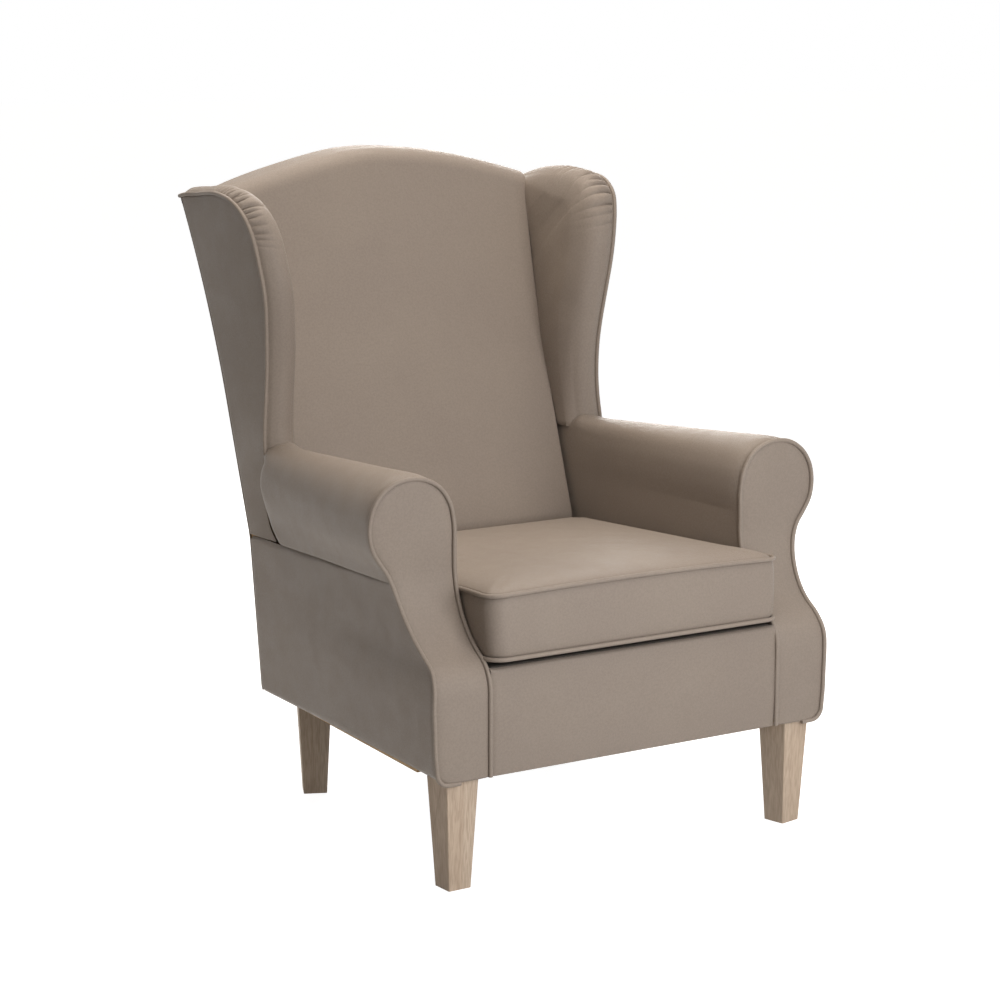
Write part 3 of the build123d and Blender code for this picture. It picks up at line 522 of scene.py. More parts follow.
# %% Seat and ring of the cushion
DECK_FRONT_Z, SEAT_TILT = 338.0, math.radians(2.2)
CUSHION_HALF, CUSHION_FRONT_Y, CUSHION_REAR_Y = 261.0, -429.8, 96.0
CUSHION_CORNER, CUSHION_SPREAD = 26.0, 6.5
BORDER_LOW, BORDER_HIGH, FRONT_ARCH = 9.0, 104.0, 4.0


def on_seat(points):
    """Places points given as x, distance behind the front and height above the deck."""
    p = np.asarray(points, float)
    y = FRONT_Y + p[..., 1] * math.cos(SEAT_TILT) + p[..., 2] * math.sin(SEAT_TILT)
    z = DECK_FRONT_Z - p[..., 1] * math.sin(SEAT_TILT) + p[..., 2] * math.cos(SEAT_TILT)
    return np.stack([p[..., 0], y, z], axis=-1)


def cushion_ring(height, inset, arch=0.0):
    """Points round the cushion at a height above the deck, drawn in from the piping line."""
    y0, y1 = CUSHION_FRONT_Y - FRONT_Y + inset, CUSHION_REAR_Y - FRONT_Y - inset
    half_x, half_y, middle = CUSHION_HALF - inset, (y1 - y0) / 2, (y0 + y1) / 2
    corner = min(max(CUSHION_CORNER - 0.2 * inset, 12.0), 0.9 * half_x, 0.9 * half_y)
    arcs = []
    for sx, sy, start in ((-1, -1, 180), (1, -1, 270), (1, 1, 0), (-1, 1, 90)):
        turn = np.radians(np.linspace(start, start + 90, 13))
        x = sx * (half_x - corner) + corner * np.cos(turn)
        y = middle + sy * (half_y - corner) + corner * np.sin(turn)
        arcs.append(np.stack([x, y], axis=1))
    ring = []
    for arc, following in zip(arcs, arcs[1:] + arcs[:1]):
        share = np.linspace(0, 1, 34)[1:-1, None]
        ring += [arc, arc[-1] + share * (following[0] - arc[-1])]
    ring = np.concatenate(ring)
    front = np.exp(-((ring[:, 1] - y0) / 40.0) ** 2) * (1 - (ring[:, 0] / CUSHION_HALF) ** 2)
    ahead = np.clip((78.0 - ring[:, 1]) / 62.0, 0, 1)
    ring[:, 0] *= 1 + CUSHION_SPREAD * min(1.0, 0.55 + height / 200.0) * ahead / CUSHION_HALF
    return np.column_stack([ring, height + arch * front])


print("points in a ring:", len(cushion_ring(BORDER_LOW, 0.0)))

# %% Rings of the cushion
CROWN_IN = (0, 4, 9, 17, 32, 60, 100, 140, 255)
CROWN_UP = (0, 3.2, 6.2, 9.8, 14.0, 18.0, 20.4, 21.4, 22.0)
CROWN_RINGS = (2, 5, 9, 15, 23, 33, 46, 62, 80, 100, 122, 146, 172, 200, 226, 244)
UNDER_RINGS = (240, 200, 150, 100, 60, 42, 25, 10, 3)
under = [cushion_ring(1.2 + 7.0 * (1 - min(d / 42.0, 1.0)) ** 2, d) for d in UNDER_RINGS]
border = []
for share in edged(9, 0.03):
    away = min(share, 1 - share) * (BORDER_HIGH - BORDER_LOW)
    inset = 3.2 - 4.6 * (1 - math.exp(-away / 4.5)) - math.sin(math.pi * share)
    ring = cushion_ring(BORDER_LOW + share * (BORDER_HIGH - BORDER_LOW), inset)
    ring[:, 2] += share * cushion_ring(0, 0, FRONT_ARCH)[:, 2]
    border.append(ring)
crown = []
for d in CROWN_RINGS:
    height = BORDER_HIGH + float(np.interp(d, CROWN_IN, CROWN_UP))
    crown.append(cushion_ring(height, d + 1.0, FRONT_ARCH * math.exp(-d / 60.0)))
print(len(under), "rings below,", len(border), "in the border and", len(crown), "in the crown")

# %% Swelling a padded piece
def puff(obj, held_points, pressure, cap, frames=20):
    """Swells a closed piece with cloth simulation. Points near the held ones stay, and the cap is in mm."""
    scene = bpy.context.scene
    before = np.array([v.co for v in obj.data.vertices])
    tree = kdtree.KDTree(len(held_points))
    for i, p in enumerate(held_points):
        tree.insert(Vector(p) * MM, i)
    tree.balance()
    held = [v.index for v in obj.data.vertices if tree.find(v.co)[2] < 0.01 * MM]
    obj.vertex_groups.new(name="held").add(held, 1.0, "REPLACE")
    cloth = obj.modifiers.new("puff", "CLOTH")
    cloth.settings.vertex_group_mass = "held"
    cloth.settings.use_pressure = True
    cloth.settings.uniform_pressure_force = pressure
    cloth.settings.effector_weights.gravity = 0
    cloth.settings.tension_stiffness = 12
    cloth.settings.compression_stiffness = 6
    cloth.settings.shear_stiffness = 4
    cloth.settings.bending_stiffness = 4
    cloth.point_cache.frame_start, cloth.point_cache.frame_end = 1, frames
    for step in range(1, frames + 1):
        scene.frame_set(step)
    soft = obj.evaluated_get(bpy.context.evaluated_depsgraph_get())
    move = np.array([v.co for v in soft.data.vertices]) - before
    furthest = np.linalg.norm(move, axis=1).max()
    move *= min(1, cap * MM / max(furthest, 1e-9))
    obj.modifiers.remove(cloth)
    obj.vertex_groups.clear()
    scene.frame_set(1)
    for vertex, place in zip(obj.data.vertices, before + move):
        vertex.co = place
    print(obj.name, "has", len(held), "held points; uncapped, it swells", round(furthest / MM, 1), "mm")


print("the simulation is", "run")

# %% Cushion cover and piping
rings = on_seat(np.array(under + border + crown))
cushion = surface("seat_cushion_skin", rings, (0, -170, 390), wrap=True)
puff(cushion, rings[: len(under) + len(border)].reshape(-1, 3), 3.0, 2.0)
dress(cushion, cover, "seat_cushion", "seat_cushion_cover", "seat_cushion_foam", fill=0.8)
for name, height, arch in (("bottom", BORDER_LOW, 0.0), ("top", BORDER_HIGH, FRONT_ARCH)):
    line = on_seat(cushion_ring(height, -1.6, arch))
    dress(tube(f"cushion_{name}_welt", line, closed=True), piping, "seat_cushion", f"cushion_{name}_piping")

# %% [markdown]
# ## Inside back
# One sheet of leatherette over padding: a crowned front, sides that turn back into the gap beside the
# wings, and a roll over the arched top as far as the outside back. It could be a plane with a lattice.
# Rows of points are placed instead, because the sheet has to meet two flaring wings and an arch without
# a slit.

# %% Shape of the inside back
WING_WALL = 50.0
BACK_LEAN = math.radians(19.0)
BACK_SIDE_Y, BACK_SEAT_Z = 146.0, 430.0
BACK_EDGE, BACK_ROLL, BACK_LOW_Z, BACK_HIGH = 6.0, 40.0, 319.0, 650.0
WING_GAP, GAP_CLOSES = 4.2, 3.8


def inside_back_y(x, z):
    """Depth of the crowned inside back."""
    crown_deep = np.interp(z, [BACK_SEAT_Z, ARCH_Z], [36.0, 24.0])
    lean = np.clip(z - BACK_SEAT_Z, 0, None) * math.tan(BACK_LEAN)
    return BACK_SIDE_Y + lean - crown_deep * (1 - (x / 320.0) ** 2)


def back_line(z):
    """Half width of the inside back at a height. Its gap to the wing closes at the top."""
    return side_x(z) - WING_WALL - WING_GAP + GAP_CLOSES * np.clip((z - 925.0) / 40.0, 0, 1)


print("half width of the inside back:", [round(float(back_line(z))) for z in (450.0, 700.0, 980.0)])

# %% Front and sides of the inside back
turn = np.radians(np.linspace(0, 90, 8))[1:]
side_out = np.concatenate([BACK_EDGE * np.sin(turn), np.full(3, BACK_EDGE)])
side_in = np.concatenate([BACK_EDGE * (1 - np.cos(turn)), BACK_EDGE + np.array([10, 20, 32])])
rows = []
for share in np.concatenate([np.linspace(0, 0.06, 5), np.linspace(0.1, 1, 64)]):
    columns = []
    for s in 2 * edged(52, 0.008) - 1:
        x = s * (back_line(BACK_LOW_Z + share * BACK_HIGH) - BACK_EDGE)
        top = arch_z(x) - BACK_ROLL * (1 - math.sin(BACK_LEAN))
        z = BACK_LOW_Z + share * (top - BACK_LOW_Z)
        x = s * (back_line(z) - BACK_EDGE)
        columns.append((x, float(inside_back_y(x, z)), z))
    columns = np.array(columns)
    sides = []
    for end, sign in ((0, -1), (-1, 1)):
        x, y, z = columns[end]
        sides.append(np.stack([x + sign * side_out, y + side_in, np.full(len(side_in), z)], axis=1))
    rows.append(np.concatenate([sides[0][::-1], columns, sides[1]]))
rows = np.array(rows)
print("grid of the front and sides:", rows.shape[:2])

# %% Roll over the top of the inside back
last = rows[-1].copy()
edge_count = len(side_in)
last[:edge_count, 1:], last[-edge_count:, 1:] = columns[0, 1:], columns[-1, 1:]
drawn = np.concatenate([side_in[::-1], np.zeros(len(columns)), side_in])
centre_y = last[:, 1] + BACK_ROLL * math.cos(BACK_LEAN)
centre_z = last[:, 2] - BACK_ROLL * math.sin(BACK_LEAN)
rear_edge_y = rear_y(centre_z + BACK_ROLL) - 1.8


def roll_x(height):
    """Where the columns of the roll stand at a height above its centre."""
    rise = centre_z + height - last[:, 2]
    wider = back_line(last[:, 2] + rise) + 0.08 * rise - back_line(last[:, 2])
    return last[:, 0] * (1 + wider / np.abs(last[0, 0]))


roll = []
for angle in np.radians(np.linspace(161, 90, 12))[1:]:
    y = centre_y + (BACK_ROLL - drawn) * math.cos(angle)
    z = centre_z + (BACK_ROLL - drawn) * math.sin(angle)
    roll.append(np.stack([roll_x(BACK_ROLL * math.sin(angle)), y, z], axis=1))
for share in (0.2, 0.45, 0.7, 0.86, 0.95, 1.0):
    y = centre_y + share * np.maximum(rear_edge_y - centre_y - 0.5 * drawn, 1)
    dip = 2.6 * max(share - 0.86, 0) / 0.14
    z = centre_z + BACK_ROLL - drawn + 2.0 * math.sin(math.pi * share) - dip
    roll.append(np.stack([roll_x(BACK_ROLL), y, z], axis=1))
rows = np.concatenate([rows, np.array(roll)])
rows[:, :, 1] += 1.4 * waves(rows[:, :, 0], rows[:, :, 2], 3, 330.0)
back = surface("inside_back_skin", rows, (0, 420, 650))
dress(back, cover, "chair", "inside_back_pad", fill=0.9)

# %% [markdown]
# ## Wings
# Each wing has a flat outside panel, a piping along its top and front edge, and a padded roll from the
# piping round to the inner face. The cover is gathered into small pleats where the roll turns the
# corner. Pleats can be simulated, but cloth that is gathered over a tight corner is slow and hard to
# steer. Here a section is carried along the edge, and each pleat is a narrow valley that fades with its
# depth.

# %% Edge of a wing
# Depth, height and how far the edge flares out
WING_LINE = [
    (409, 986, 0), (392, 990.5, 1), (366, 995.5, 2), (330, 1000.5, 4), (294, 1004, 7), (258, 1005.5, 10),
    (226, 1002.5, 12), (200, 997.5, 14), (177, 986.5, 14), (158, 968.5, 13), (147, 945, 11), (141, 917, 9.5),
    (138, 888, 8), (137, 860, 6), (139, 830, 4), (144, 795, 3), (149.5, 760, 2.5), (154, 725, 2.5),
    (157, 690, 4), (158.5, 655, 6.5), (158, 625, 9.5), (155, 598, 12), (152, 580, 13),
]
ARM_SEAM = [(152, 580, 13), (166, 556, 9), (176, 524, 6), (174, 487, 4), (163, 456, 3), (146, 437, 2)]
WING_LEAN = 7.0


def wing_edge(sign, count):
    """Edge of a wing as depth, height and flare. The right wing stands a little higher than the left."""
    line = smooth_path(WING_LINE, count)
    lean = np.clip((line[:, 1] - 800.0) / 170.0, 0, 1) * np.clip((409.0 - line[:, 0]) / 80.0, 0, 1)
    line[:, 1] += sign * WING_LEAN * lean
    return line


def wing_run(sign, count):
    """Points along a wing's edge, close together at the corner where the cover is gathered."""
    fine = wing_edge(sign, 2000)
    run = np.concatenate([[0], np.cumsum(np.linalg.norm(np.diff(fine[:, :2], axis=0), axis=1))])
    corner = run[np.argmin(np.abs(fine[:, 0] - 186) + 1000 * (fine[:, 1] < 900))]
    spacing = np.interp(run, corner + np.array([-150, -105, 105, 150]), [3.4, 0.9, 0.9, 3.4])
    density = np.concatenate([[0], np.cumsum(np.diff(run) / spacing[1:])])
    at = np.interp(np.linspace(0, density[-1], count), density, run)
    line = np.stack([np.interp(at, run, fine[:, k]) for k in range(3)], axis=1)
    step = np.gradient(line[:, :2], at, axis=0)
    step /= np.linalg.norm(step, axis=1, keepdims=True)
    return line, at, corner, np.stack([step[:, 1], -step[:, 0]], axis=1)


arm_seam = smooth_path(ARM_SEAM, 60)
print("length of a wing's edge:", round(float(wing_run(1.0, 440)[1][-1])), "mm")

# %% Padded roll of a wing
# Depth from the piping towards the inside, and reach out of the edge
ROLL_SECTION = [
    (0.4, -2.2), (3.4, -0.6), (7.5, 3.8), (15.0, 8.2), (24.0, 11.2), (32.0, 11.3), (39.0, 9.2), (45.5, 5.6),
    (51.0, 0.6), (56.0, -6.5), (60.0, -15.5), (63.5, -26.5), (66.0, -38.0),
]
PLEATS = {"left": (11, 15, 2.3, 40.0), "right": (23, 11, 2.3, 58.0)}  # seed, count, strength, longest
GAP_TOP, GAP_FOOT = np.array([404.0, 990.0]), np.array([212.0, 580.0])
INNER_SHARES = (0.06, 0.14, 0.24, 0.36, 0.5, 0.66, 0.83, 1.0)
roll_section = smooth_path(ROLL_SECTION, 32)


def wing_pad_rows(side, sign):
    """Grid over the padded roll and the inner face of a wing, as a right one."""
    line, run, corner, outward = wing_run(sign, 440)
    seed, count, strength, longest = PLEATS[side]
    rng = np.random.default_rng(seed)
    spread = np.linspace(-1, 1, count)
    pleats = corner + 84.0 * spread + rng.uniform(-3.5, 3.5, count)
    deep = strength * rng.uniform(3.0, 5.5, count) * np.exp(-1.3 * spread**2)
    reach_of = longest * rng.uniform(0.5, 1.0, count)
    gap_way = GAP_FOOT - GAP_TOP
    inner = GAP_TOP + (run / run[-1])[:, None] * gap_way
    high = np.clip((inner[:, 1] - 925.0) / 55.0, 0, 1)
    inner[:, 1] += 9.0 * high
    rows = []
    for i, ((y, z, flare), (ny, nz)) in enumerate(zip(line, outward)):
        width = abs((y - GAP_TOP[0]) * gap_way[1] - (z - GAP_TOP[1]) * gap_way[0]) / np.linalg.norm(gap_way)
        slim = np.interp(width, [15, 130], [(WING_WALL + 0.9 * flare) / roll_section[-1, 0], 1.0])
        end = np.clip(run[i] / 22.0, 0, 1)
        grown = 0.35 + 0.65 * math.sqrt(end * (2 - end))
        seam = 3.0 * math.exp(-(((run[-1] - run[i]) / 4.0) ** 2))
        row = []
        for depth, reach in roll_section:
            drift = pleats + 0.0022 * depth * (pleats - corner)
            crease = np.abs(run[i] - drift) / (1.0 + 0.1 * depth)
            fold = float(np.sum(deep * np.exp(-crease - (depth / reach_of) ** 3)))
            out = reach * min(1.0, width / 150.0) if reach < 0 else reach * grown
            out -= fold * min(1.0, depth / 8.0) + (seam if depth > 5 else 0)
            py, pz = y + ny * out, z + nz * out
            row.append((float(side_x(pz)) + flare - depth * slim, py, pz))
        rim = np.array(row[-1])
        thick = roll_section[-1, 0] * slim - flare
        for share in INNER_SHARES:
            p = rim + share * (np.array([0.0, *inner[i]]) - rim)
            full = (thick - WING_WALL) * (1 - share**1.6) + 3.0 * slim * math.sin(math.pi * share)
            p[0] = float(side_x(p[2])) - WING_WALL - full + seam * (1 - share)
            row.append(p)
        # The last column turns in behind the inside back, so that no light comes through
        row.append(row[-1] + np.array([-6.0, 8.0 - 12.0 * high[i], -12.0 + 9.0 * high[i]]))
        rows.append(np.array(row))
    return np.array([rows[0] + np.array([0.0, -7.0, -12.0])] + rows)


for side, sign in SIDES:
    rows = wing_pad_rows(side, sign) * np.array([sign, 1, 1])
    pad = surface(f"{side}_wing_pad_skin", rows, (sign * 300, 260, 800))
    dress(pad, cover, "chair", f"{side}_wing_pad", fill=0.9)

# %% Outside panels and piping of the wings
WING_FOOT_Z = 436.0
rear_z = CORNER_Z + np.linspace(0, 1, 300) * (WING_FOOT_Z - CORNER_Z)
rear_line = np.stack([rear_y(rear_z) - 2.0, rear_z], axis=1)
for side, sign in SIDES:
    flip = np.array([sign, 1, 1])
    wing_line = wing_edge(sign, 240)
    front_line = even(np.concatenate([wing_line, arm_seam[1:]]), 300)
    span = np.linalg.norm(rear_line - front_line[:, :2], axis=1)
    piped = 0.1 + 0.9 * np.clip((front_line[:, 1] - 560.0) / 30.0, 0, 1)
    panel = []
    for share in edged(26):
        p = front_line[:, :2] + share * (rear_line - front_line[:, :2])
        swell = 2.2 * math.sin(math.pi * share) * np.clip(span / 150, 0, 1)
        sewn = piped if share < 0.5 else 1.0
        out = swell - sewn * tuck(share, span, 3.0, 4.2) + front_line[:, 2] * (1 - share) ** 1.3
        panel.append(np.stack([side_x(p[:, 1]) + out, p[:, 0], p[:, 1]], axis=1))
    panel = surface(f"{side}_outside_wing_skin", np.array(panel) * flip, (0, 200, 700))
    dress(thicken(panel), cover, "chair", f"{side}_outside_wing_cover")
    welt = np.column_stack([side_x(wing_line[:, 1]) + wing_line[:, 2] + 0.4, wing_line[:, :2]]) * flip
    dress(tube(f"{side}_wing_welt", welt), piping, "chair", f"{side}_wing_piping")

# %% [markdown]
# ## Arms
# The arm is a padded roll that tapers to the rear over a straight inside. Its front is a scroll-shaped
# facing that sweeps forward to the seat rail, piped all along its edge, and a flat panel closes the
# outside below the roll. The roll could be a curve with a bevel object. It is lofted between a front
# and a rear section instead, because each row can then end on the swept facing in front and on the
# wing's seam behind.

# %% Sections of an arm
ARM_INNER_X, ARM_FACE_Y, ARM_REAR_Y = 270.0, -323.0, 206.0
SWEEP_LOW_Z, SWEEP_HIGH_Z, SWEEP_BEND = 300.0, 480.0, 0.27
SCROLL = [
    (270, 500), (270.5, 538), (277, 567), (292, 590), (314, 604), (341, 609), (369, 605), (393, 590),
    (409, 566), (414, 538), (409.5, 511), (397, 490), (385, 473), (376.5, 453), (371, 432), (366.5, 408),
    (362.5, 382), (360, 358), (360.2, 338), (363, 320), (365, 300), (364.5, 250), (362, 200), (358.5, 180),
    (350, 172), (338, 170.5), (322, 170.5),
]
REAR_ROLL = [
    (270, 500), (270, 562), (271, 575), (275, 584), (283, 589.5), (297, 592), (314, 590), (328, 582),
    (338, 568), (341, 551), (339, 533), (334, 514), (328, 495), (322, 470), (317, 438),
]
FRONT_HEM, REAR_HEM = (379, 459.5), (317, 438)
ROLL_HEM = np.array([(-0.8, -1.6), (-2.2, -2.8), (-4.4, -3.2), (-7.5, -3.2)])
INSIDE_COUNT = 26


def facing_y(z):
    """Depth of the swept front of the arms at a height."""
    deep, high = ARM_FACE_Y - FRONT_Y, SWEEP_HIGH_Z - SWEEP_LOW_Z
    both = (deep**2 + high**2) / (2 * deep)
    small, large = SWEEP_BEND * both, (1 - SWEEP_BEND) * both
    up = np.clip(z - SWEEP_LOW_Z, 0, SWEEP_BEND * high)
    down = np.clip(SWEEP_HIGH_Z - z, 0, (1 - SWEEP_BEND) * high)
    lower = FRONT_Y + small - np.sqrt(small**2 - up**2)
    upper = ARM_FACE_Y - large + np.sqrt(large**2 - down**2)
    return np.where(z < SWEEP_LOW_Z + SWEEP_BEND * high, lower, upper)


inside_z = np.linspace(324, 497, INSIDE_COUNT)
inside_line = np.stack([np.full(INSIDE_COUNT, ARM_INNER_X), inside_z], axis=1)
front_roll = [inside_line, smooth_path(SCROLL[:13] + [FRONT_HEM], 86), ROLL_HEM + FRONT_HEM]
front_roll = np.concatenate(front_roll)
rear_roll = np.concatenate([inside_line, smooth_path(REAR_ROLL, 86), ROLL_HEM + REAR_HEM])
crest = INSIDE_COUNT + int(np.argmax(front_roll[INSIDE_COUNT:, 1]))
print("crest of the roll at column", crest, "of", len(front_roll))

# %% Arm rolls
ROLL_FULL, ROLL_MIDDLE = 8.0, np.array([330.0, 540.0])
ROLL_SHARES = np.concatenate([[0, 0.004, 0.01, 0.02], np.linspace(0.04, 0.9, 44), np.linspace(0.91, 1, 16)])


def arm_pad_rows(seed):
    """Grid over the roll and the inside of a right arm, front to rear."""
    column = np.arange(len(front_roll))
    y_start = facing_y(front_roll[:, 1]) + 1.0
    seam_y = np.interp(rear_roll[:, 1], arm_seam[::-1, 1], arm_seam[::-1, 0])
    blend = np.clip((column - crest) / 10.0, 0, 1)
    y_end = 200.0 + blend * (seam_y + 3.0 - 200.0)
    rows = []
    for share in ROLL_SHARES:
        y = y_start + share * (y_end - y_start)
        taper = np.clip((y - ARM_FACE_Y) / (ARM_REAR_Y - ARM_FACE_Y), 0, 1)[:, None]
        p = front_roll + taper * (rear_roll - front_roll)
        x, z = p[:, 0].copy(), p[:, 1].copy()
        # At the rear the roll closes against the wing
        close = np.clip(1 - (y_end - y) / 44.0, 0, 1) ** 2
        tucked = np.minimum(x, side_x(z) + np.interp(z, arm_seam[::-1, 1], arm_seam[::-1, 2]) - 5.0)
        x = np.where(column > crest, x + close * (tucked - x), x)
        # Behind the facing's seam the roll swells, and thins out again to the rear
        ahead = share * 520.0
        full = ROLL_FULL * (1 - math.exp(-((ahead / 17.0) ** 1.3))) * (1 - share) ** 1.5
        rise = np.sin(np.pi * np.clip((column - INSIDE_COUNT) / 62.0, 0, 1)) ** 0.7
        hold = 3.6 * math.exp(-((ahead / 6.0) ** 2)) - full * rise
        away = np.stack([x, z], axis=1) - ROLL_MIDDLE
        away /= np.linalg.norm(away, axis=1, keepdims=True)
        away[:INSIDE_COUNT] = (-1, 0)
        uneven = 0.9 * waves(y, column * 5.0, seed, 260.0)
        z += 9.0 * np.exp(-np.abs(y - 146.0) / 15.0) * np.exp(-(((column - crest + 14.0) / 16.0) ** 2))
        x += away[:, 0] * (uneven - hold)
        z += away[:, 1] * (uneven - hold) * (column > INSIDE_COUNT)
        rows.append(np.stack([x, y, z], axis=1))
    return np.array(rows)


for (side, sign), seed in zip(SIDES, (5, 8)):
    rows = arm_pad_rows(seed) * np.array([sign, 1, 1])
    pad = surface(f"{side}_arm_pad_skin", rows, (sign * 320, -60, 500))
    dress(pad, cover, "chair", f"{side}_arm_pad", fill=0.9)

# %% Arm facings and their piping
inner_rise = [(ARM_INNER_X, z) for z in np.linspace(COVER_LOW_Z, 496, 40)]
scroll_line = even(np.concatenate([inner_rise, smooth_path(SCROLL, 170)]), 230)
top = np.argmax(scroll_line[:, 1])
inner_edge, outer_edge = scroll_line[: top + 1], scroll_line[top:]
panel_z = np.concatenate([np.linspace(171.5, 600, 150), 609 - 9 * np.linspace(1, 0, 24)[1:] ** 2])
inner_x = np.interp(panel_z, inner_edge[:, 1], inner_edge[:, 0])
outer_x = np.interp(panel_z, outer_edge[::-1, 1], outer_edge[::-1, 0])
width = np.maximum(outer_x - inner_x, 0.2)
way = np.gradient(scroll_line, axis=0)
way /= np.linalg.norm(way, axis=1, keepdims=True)
proud = scroll_line + 0.8 * np.stack([-way[:, 1], way[:, 0]], axis=1)
welt = np.column_stack([proud[:, 0], facing_y(scroll_line[:, 1]) - 1.0, proud[:, 1]])
for side, sign in SIDES:
    flip = np.array([sign, 1, 1])
    face = []
    for share in edged(22, 0.02):
        edge = np.minimum(share, 1 - share) * width
        swell = 5.2 * (1 - np.exp(-edge / 6.5)) - 2.6
        x = inner_x - 0.8 + share * (width + 1.6)
        face.append(np.stack([x, facing_y(panel_z) - swell, panel_z], axis=1))
    face = surface(f"{side}_arm_facing_skin", np.array(face) * flip, (sign * 320, -200, 400))
    dress(thicken(face), cover, "chair", f"{side}_arm_facing")
    dress(tube(f"{side}_arm_welt", welt * flip), piping, "chair", f"{side}_arm_piping")

# %% Outside panels of the arms
SEAM_FRONT_Z, SEAM_REAR_Z = 456.0, 432.0
rows = []
for up in edged(40, 0.016):
    row = []
    for share in edged(40, 0.01):
        seam = SEAM_FRONT_Z + share * (SEAM_REAR_Z - SEAM_FRONT_Z) + 0.9 * math.sin(29.0 * share)
        z = COVER_LOW_Z + up * (seam - COVER_LOW_Z)
        y0, y1 = float(facing_y(z)) + 2.0, float(rear_y(z)) - 2.0
        y = y0 + share * (y1 - y0)
        x0 = float(np.interp(z, outer_edge[::-1, 1], outer_edge[::-1, 0]))
        reach = (y - FRONT_Y) / (REAR_BEND_Y - FRONT_Y)
        x = x0 + reach * (float(side_x(z)) - x0)
        out = 2.4 * math.sin(math.pi * up) * math.sin(math.pi * min(share * 1.1, 1))
        out -= float(tuck(up, seam - COVER_LOW_Z, 4.2, 3.6)) + float(tuck(share, y1 - y0, 4.4, 4.4))
        row.append((x + out, y, z))
    rows.append(row)
for side, sign in SIDES:
    panel = surface(f"{side}_outside_arm_skin", np.array(rows) * np.array([sign, 1, 1]), (0, -100, 300))
    dress(thicken(panel), cover, "chair", f"{side}_outside_arm_cover")

# %% [markdown]
# ## Front border and outside back
# Plain panels of leatherette, stretched over the front rail and the rear of the frame. A flat plane
# would do from afar. Close up, a stretched cover bellies a little and dips into its seams, so each
# panel is a grid with close rows along its edges, and gets its wall from a Solidify modifier.

# %% Front border
BORDER_HALF, BORDER_TOP_Z, LIP_DEEP = 266.5, 335.0, 7.0
rows = []
for up in np.concatenate([edged(22, 0.02), [1.01, 1.02, 1.03, 1.03]]):
    row = []
    for share in edged(48, 0.008):
        x = -BORDER_HALF + 2 * BORDER_HALF * share
        lip = max(up - 1, 0) / 0.03
        z = COVER_LOW_Z + min(up, 1) * (BORDER_TOP_Z - 1.0 - COVER_LOW_Z) - lip
        swell = 2.5 * math.sin(math.pi * min(up, 1)) ** 0.6
        swell -= float(tuck(share, 2 * BORDER_HALF, 2.5)) + 5.0 * max(min(up, 1) - 0.985, 0) / 0.015
        row.append((x, FRONT_Y - swell + LIP_DEEP * lip, z))
    rows.append(row)
border_skin = surface("front_border_skin", rows, (0, 0, 260))
dress(thicken(border_skin), cover, "chair", "front_border_cover")

# %% Outside back
BACK_COVER_HIGH, BACK_COVER_WIDE = 860.0, 620.0
rows = []
for up in edged(60, 0.006):
    row = []
    for share in edged(44, 0.01):
        s = -1 + 2 * share
        x = s * (float(side_x(COVER_LOW_Z + up * 840.0)) - 1.0)
        z = COVER_LOW_Z + up * (float(arch_z(x)) - 2.0 - COVER_LOW_Z)
        x = s * (float(side_x(z)) - 1.0)
        swell = 3.0 * math.sin(math.pi * up) * (1 - s * s)
        swell -= float(tuck(share, BACK_COVER_WIDE, 2.2)) + float(tuck(up, BACK_COVER_HIGH, 2.2))
        row.append((x, float(rear_y(z)) + swell, z))
    rows.append(row)
outside_back = surface("outside_back_skin", rows, (0, 0, 600))
dress(thicken(outside_back), cover, "chair", "outside_back_cover")

# %% [markdown]
# ## Seat deck and dust cover
# Under the loose cushion lies the deck, a dark cloth over wadding on the springs. Below the seat a thin
# dust cover is tacked to the rails and cut out round the front legs. Neither drapes: both are stretched
# flat, so they are grids as well, and no simulation is needed.

# %% Seat deck
DECK_HALF, DECK_START, DECK_LONG = 266.0, 11.5, 580.0
rows = []
for share in edged(40, 0.01):
    row = []
    for across in edged(40, 0.01):
        hollow = 2.0 * (1 - math.sin(math.pi * share) * math.sin(math.pi * across))
        height = -1.2 - hollow - float(tuck(across, 2 * DECK_HALF, 2.0))
        row.append((-DECK_HALF + 2 * DECK_HALF * across, DECK_START + share * DECK_LONG, height))
    rows.append(row)
deck = surface("seat_deck_skin", on_seat(rows), (0, -100, 100))
dress(thicken(deck, 8.0), deck_cloth, "chair", "seat_deck", fill=0.9)

# %% Dust cover
DUST_Z, DUST_FRONT_Y, DUST_LEG_Y, DUST_REAR_Y = 171.6, -411.0, -344.0, 225.0
DUST_NOTCH_HALF, BODY_FRONT_X, DUST_INSET = 268.0, 361.0, 6.0
rows = []
between_legs = np.linspace(DUST_FRONT_Y, DUST_LEG_Y - 0.5, 6)
for y in np.concatenate([between_legs, np.linspace(DUST_LEG_Y, DUST_REAR_Y, 34)]):
    share = (y - FRONT_Y) / (REAR_BASE_Y - FRONT_Y)
    half = BODY_FRONT_X + share * (REAR_BASE_X - BODY_FRONT_X) - DUST_INSET
    half = half if y >= DUST_LEG_Y else DUST_NOTCH_HALF
    rows.append([(half * s, y, DUST_Z) for s in np.linspace(-1, 1, 34)])
dust = surface("dust_cover_skin", rows, (0, -60, 400))
dress(dust, dust_cloth, "chair", "dust_cover")

# %% [markdown]
# ## Zip slider
# The slider of the cushion's zip is a small cast body with a pull tab. Two cubes, placed and scaled
# inside the room of the solid and bevelled, are enough at its size.

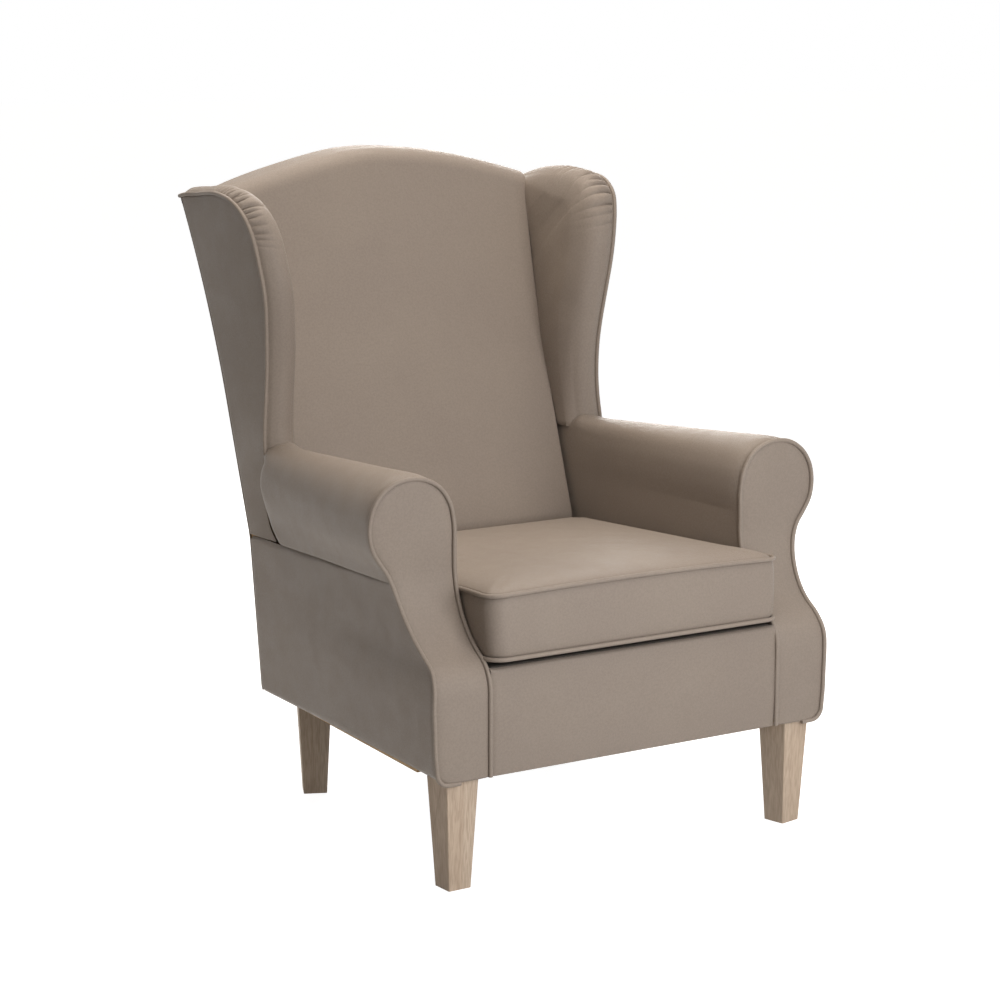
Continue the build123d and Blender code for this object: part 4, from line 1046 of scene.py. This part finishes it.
# %% Zip slider
low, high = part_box("zip_slider")
middle, size = (low + high) / 2, high - low
bm = bmesh.new()
for shift, scale in (((0, -0.22, 0.18), (1.0, 0.5, 0.62)), ((0, 0.3, -0.12), (0.5, 0.22, 0.72))):
    for vertex in bmesh.ops.create_cube(bm, size=1.0)["verts"]:
        vertex.co = middle + Vector((vertex.co[k] * scale[k] + shift[k]) * size[k] for k in range(3))
round_off = {"offset": 0.5 * MM, "segments": 2, "profile": 0.5, "affect": "EDGES", "material": -1}
bmesh.ops.bevel(bm, geom=bm.edges[:], **round_off)
slider = keep("zip_slider_body", bm, smooth=False)
dress(slider, zip_metal, "zip_slider", "zip_slider")

# %% [markdown]
# ## Floor and background
# The photograph has a white ground. A brighter lamp would bleach the chair, so the white is only shown
# to rays from the camera, and to those that a gloss or a glass sends on, with the Light Path node. The
# floor keeps the shadow, and the light that reaches the chair stays plain.

# %% Floor
def seen_rays(tree):
    """One for rays from the camera, a gloss or a glass, and nothing for the rest."""
    rays = add(tree, "ShaderNodeLightPath", {})
    total = rays.outputs["Is Camera Ray"]
    for kind in ("Is Glossy Ray", "Is Transmission Ray"):
        either = {0: total, 1: rays.outputs[kind]}
        total = add(tree, "ShaderNodeMath", either, operation="MAXIMUM").outputs[0]
    return total


FLOOR_SHADE, FLOOR_GLOW, FLOOR_HALF = 0.6, 0.92, 40.0
floor_paint, tree, _ = new_material("floor_white")
glow = add(tree, "ShaderNodeMath", {0: seen_rays(tree), 1: FLOOR_GLOW}, operation="MULTIPLY")
paint = {"Base Color": (*[FLOOR_SHADE] * 3, 1), "Roughness": 1.0, "Specular IOR Level": 0.0}
shine = {"Emission Color": (1, 1, 1, 1), "Emission Strength": glow.outputs[0]}
add(tree, "Principled BSDF", paint | shine)
bm = bmesh.new()
bmesh.ops.create_grid(bm, x_segments=1, y_segments=1, size=FLOOR_HALF)
floor = keep("floor", bm, smooth=False)
floor.data.materials.append(floor_paint)
print("floor of", 2 * FLOOR_HALF, "m")

# %% Background
SKY_STRENGTH = 0.14
world = bpy.data.worlds.new("studio")
world.use_nodes = True
bpy.context.scene.world = world
tree = world.node_tree
sky = add(tree, "Background", {"Color": (1, 0.96, 0.91, 1), "Strength": SKY_STRENGTH})
seen = add(tree, "ShaderNodeBackground", {"Color": (1, 1, 1, 1), "Strength": 1.0})
shown = add(tree, "ShaderNodeMixShader", {0: seen_rays(tree), 1: sky.outputs[0], 2: seen.outputs[0]})
add(tree, "World Output", {"Surface": shown.outputs[0]})
print("world strength", SKY_STRENGTH)

# %% [markdown]
# ## Light and camera
# The photograph has soft light from the front and from above, as from large softboxes, so area lamps
# are used: a low key in front, two above and a weak one behind that shows the rear. The camera stands
# where a camera fitted to the legs, arms and wings of the chair stands.

# %% Studio lamps
def lamp(name, place, aim, size, watts, tint):
    """Soft rectangular studio light."""
    light = bpy.data.lights.new(name, "AREA")
    light.color = tint
    light.shape = "RECTANGLE"
    light.size, light.size_y = size
    light.energy = watts
    obj = bpy.data.objects.new(name, light)
    obj.location = place
    obj.rotation_euler = (Vector(aim) - Vector(place)).to_track_quat("-Z", "Y").to_euler()
    bpy.context.collection.objects.link(obj)
    print(name, watts, "W")


lamp("key", (0.1, -2.1, 0.9), (0, 0, 0.5), (1.4, 1.2), 27.5, (1.0, 1.02, 1.05))
lamp("front_top", (-0.1, -1.1, 2.7), (0, 0.1, 0.6), (1.8, 1.4), 24, (1.0, 0.95, 0.89))
lamp("behind", (1.7, 2.3, 1.3), (0, 0.2, 0.5), (1.4, 1.4), 30, (1.0, 0.97, 0.93))
lamp("rear_top", (0.2, 0.9, 3.0), (0, -0.1, 0.5), (2.2, 1.8), 62, (1.0, 0.91, 0.8))

# %% Camera
CAMERA_PLACE = (-2.3022, -3.5792, 1.2549)
CAMERA_RIGHT = Vector((0.83862, -0.54471, -0.00047))
CAMERA_UP = Vector((0.09582, 0.14666, 0.98453))
CAMERA_VIEW = Vector((0.53622, 0.8257, -0.17519))
camera_data = bpy.data.cameras.new("camera")
camera_data.sensor_width = 36.0
camera_data.lens = 94.7
camera = bpy.data.objects.new("camera", camera_data)
bpy.context.collection.objects.link(camera)
turned = Matrix((CAMERA_RIGHT, CAMERA_UP, -CAMERA_VIEW)).transposed().to_4x4()
camera.matrix_world = Matrix.Translation(CAMERA_PLACE) @ turned
bpy.context.scene.camera = camera
bpy.context.scene.view_settings.view_transform = "Standard"
print("camera lens", camera_data.lens, "mm")
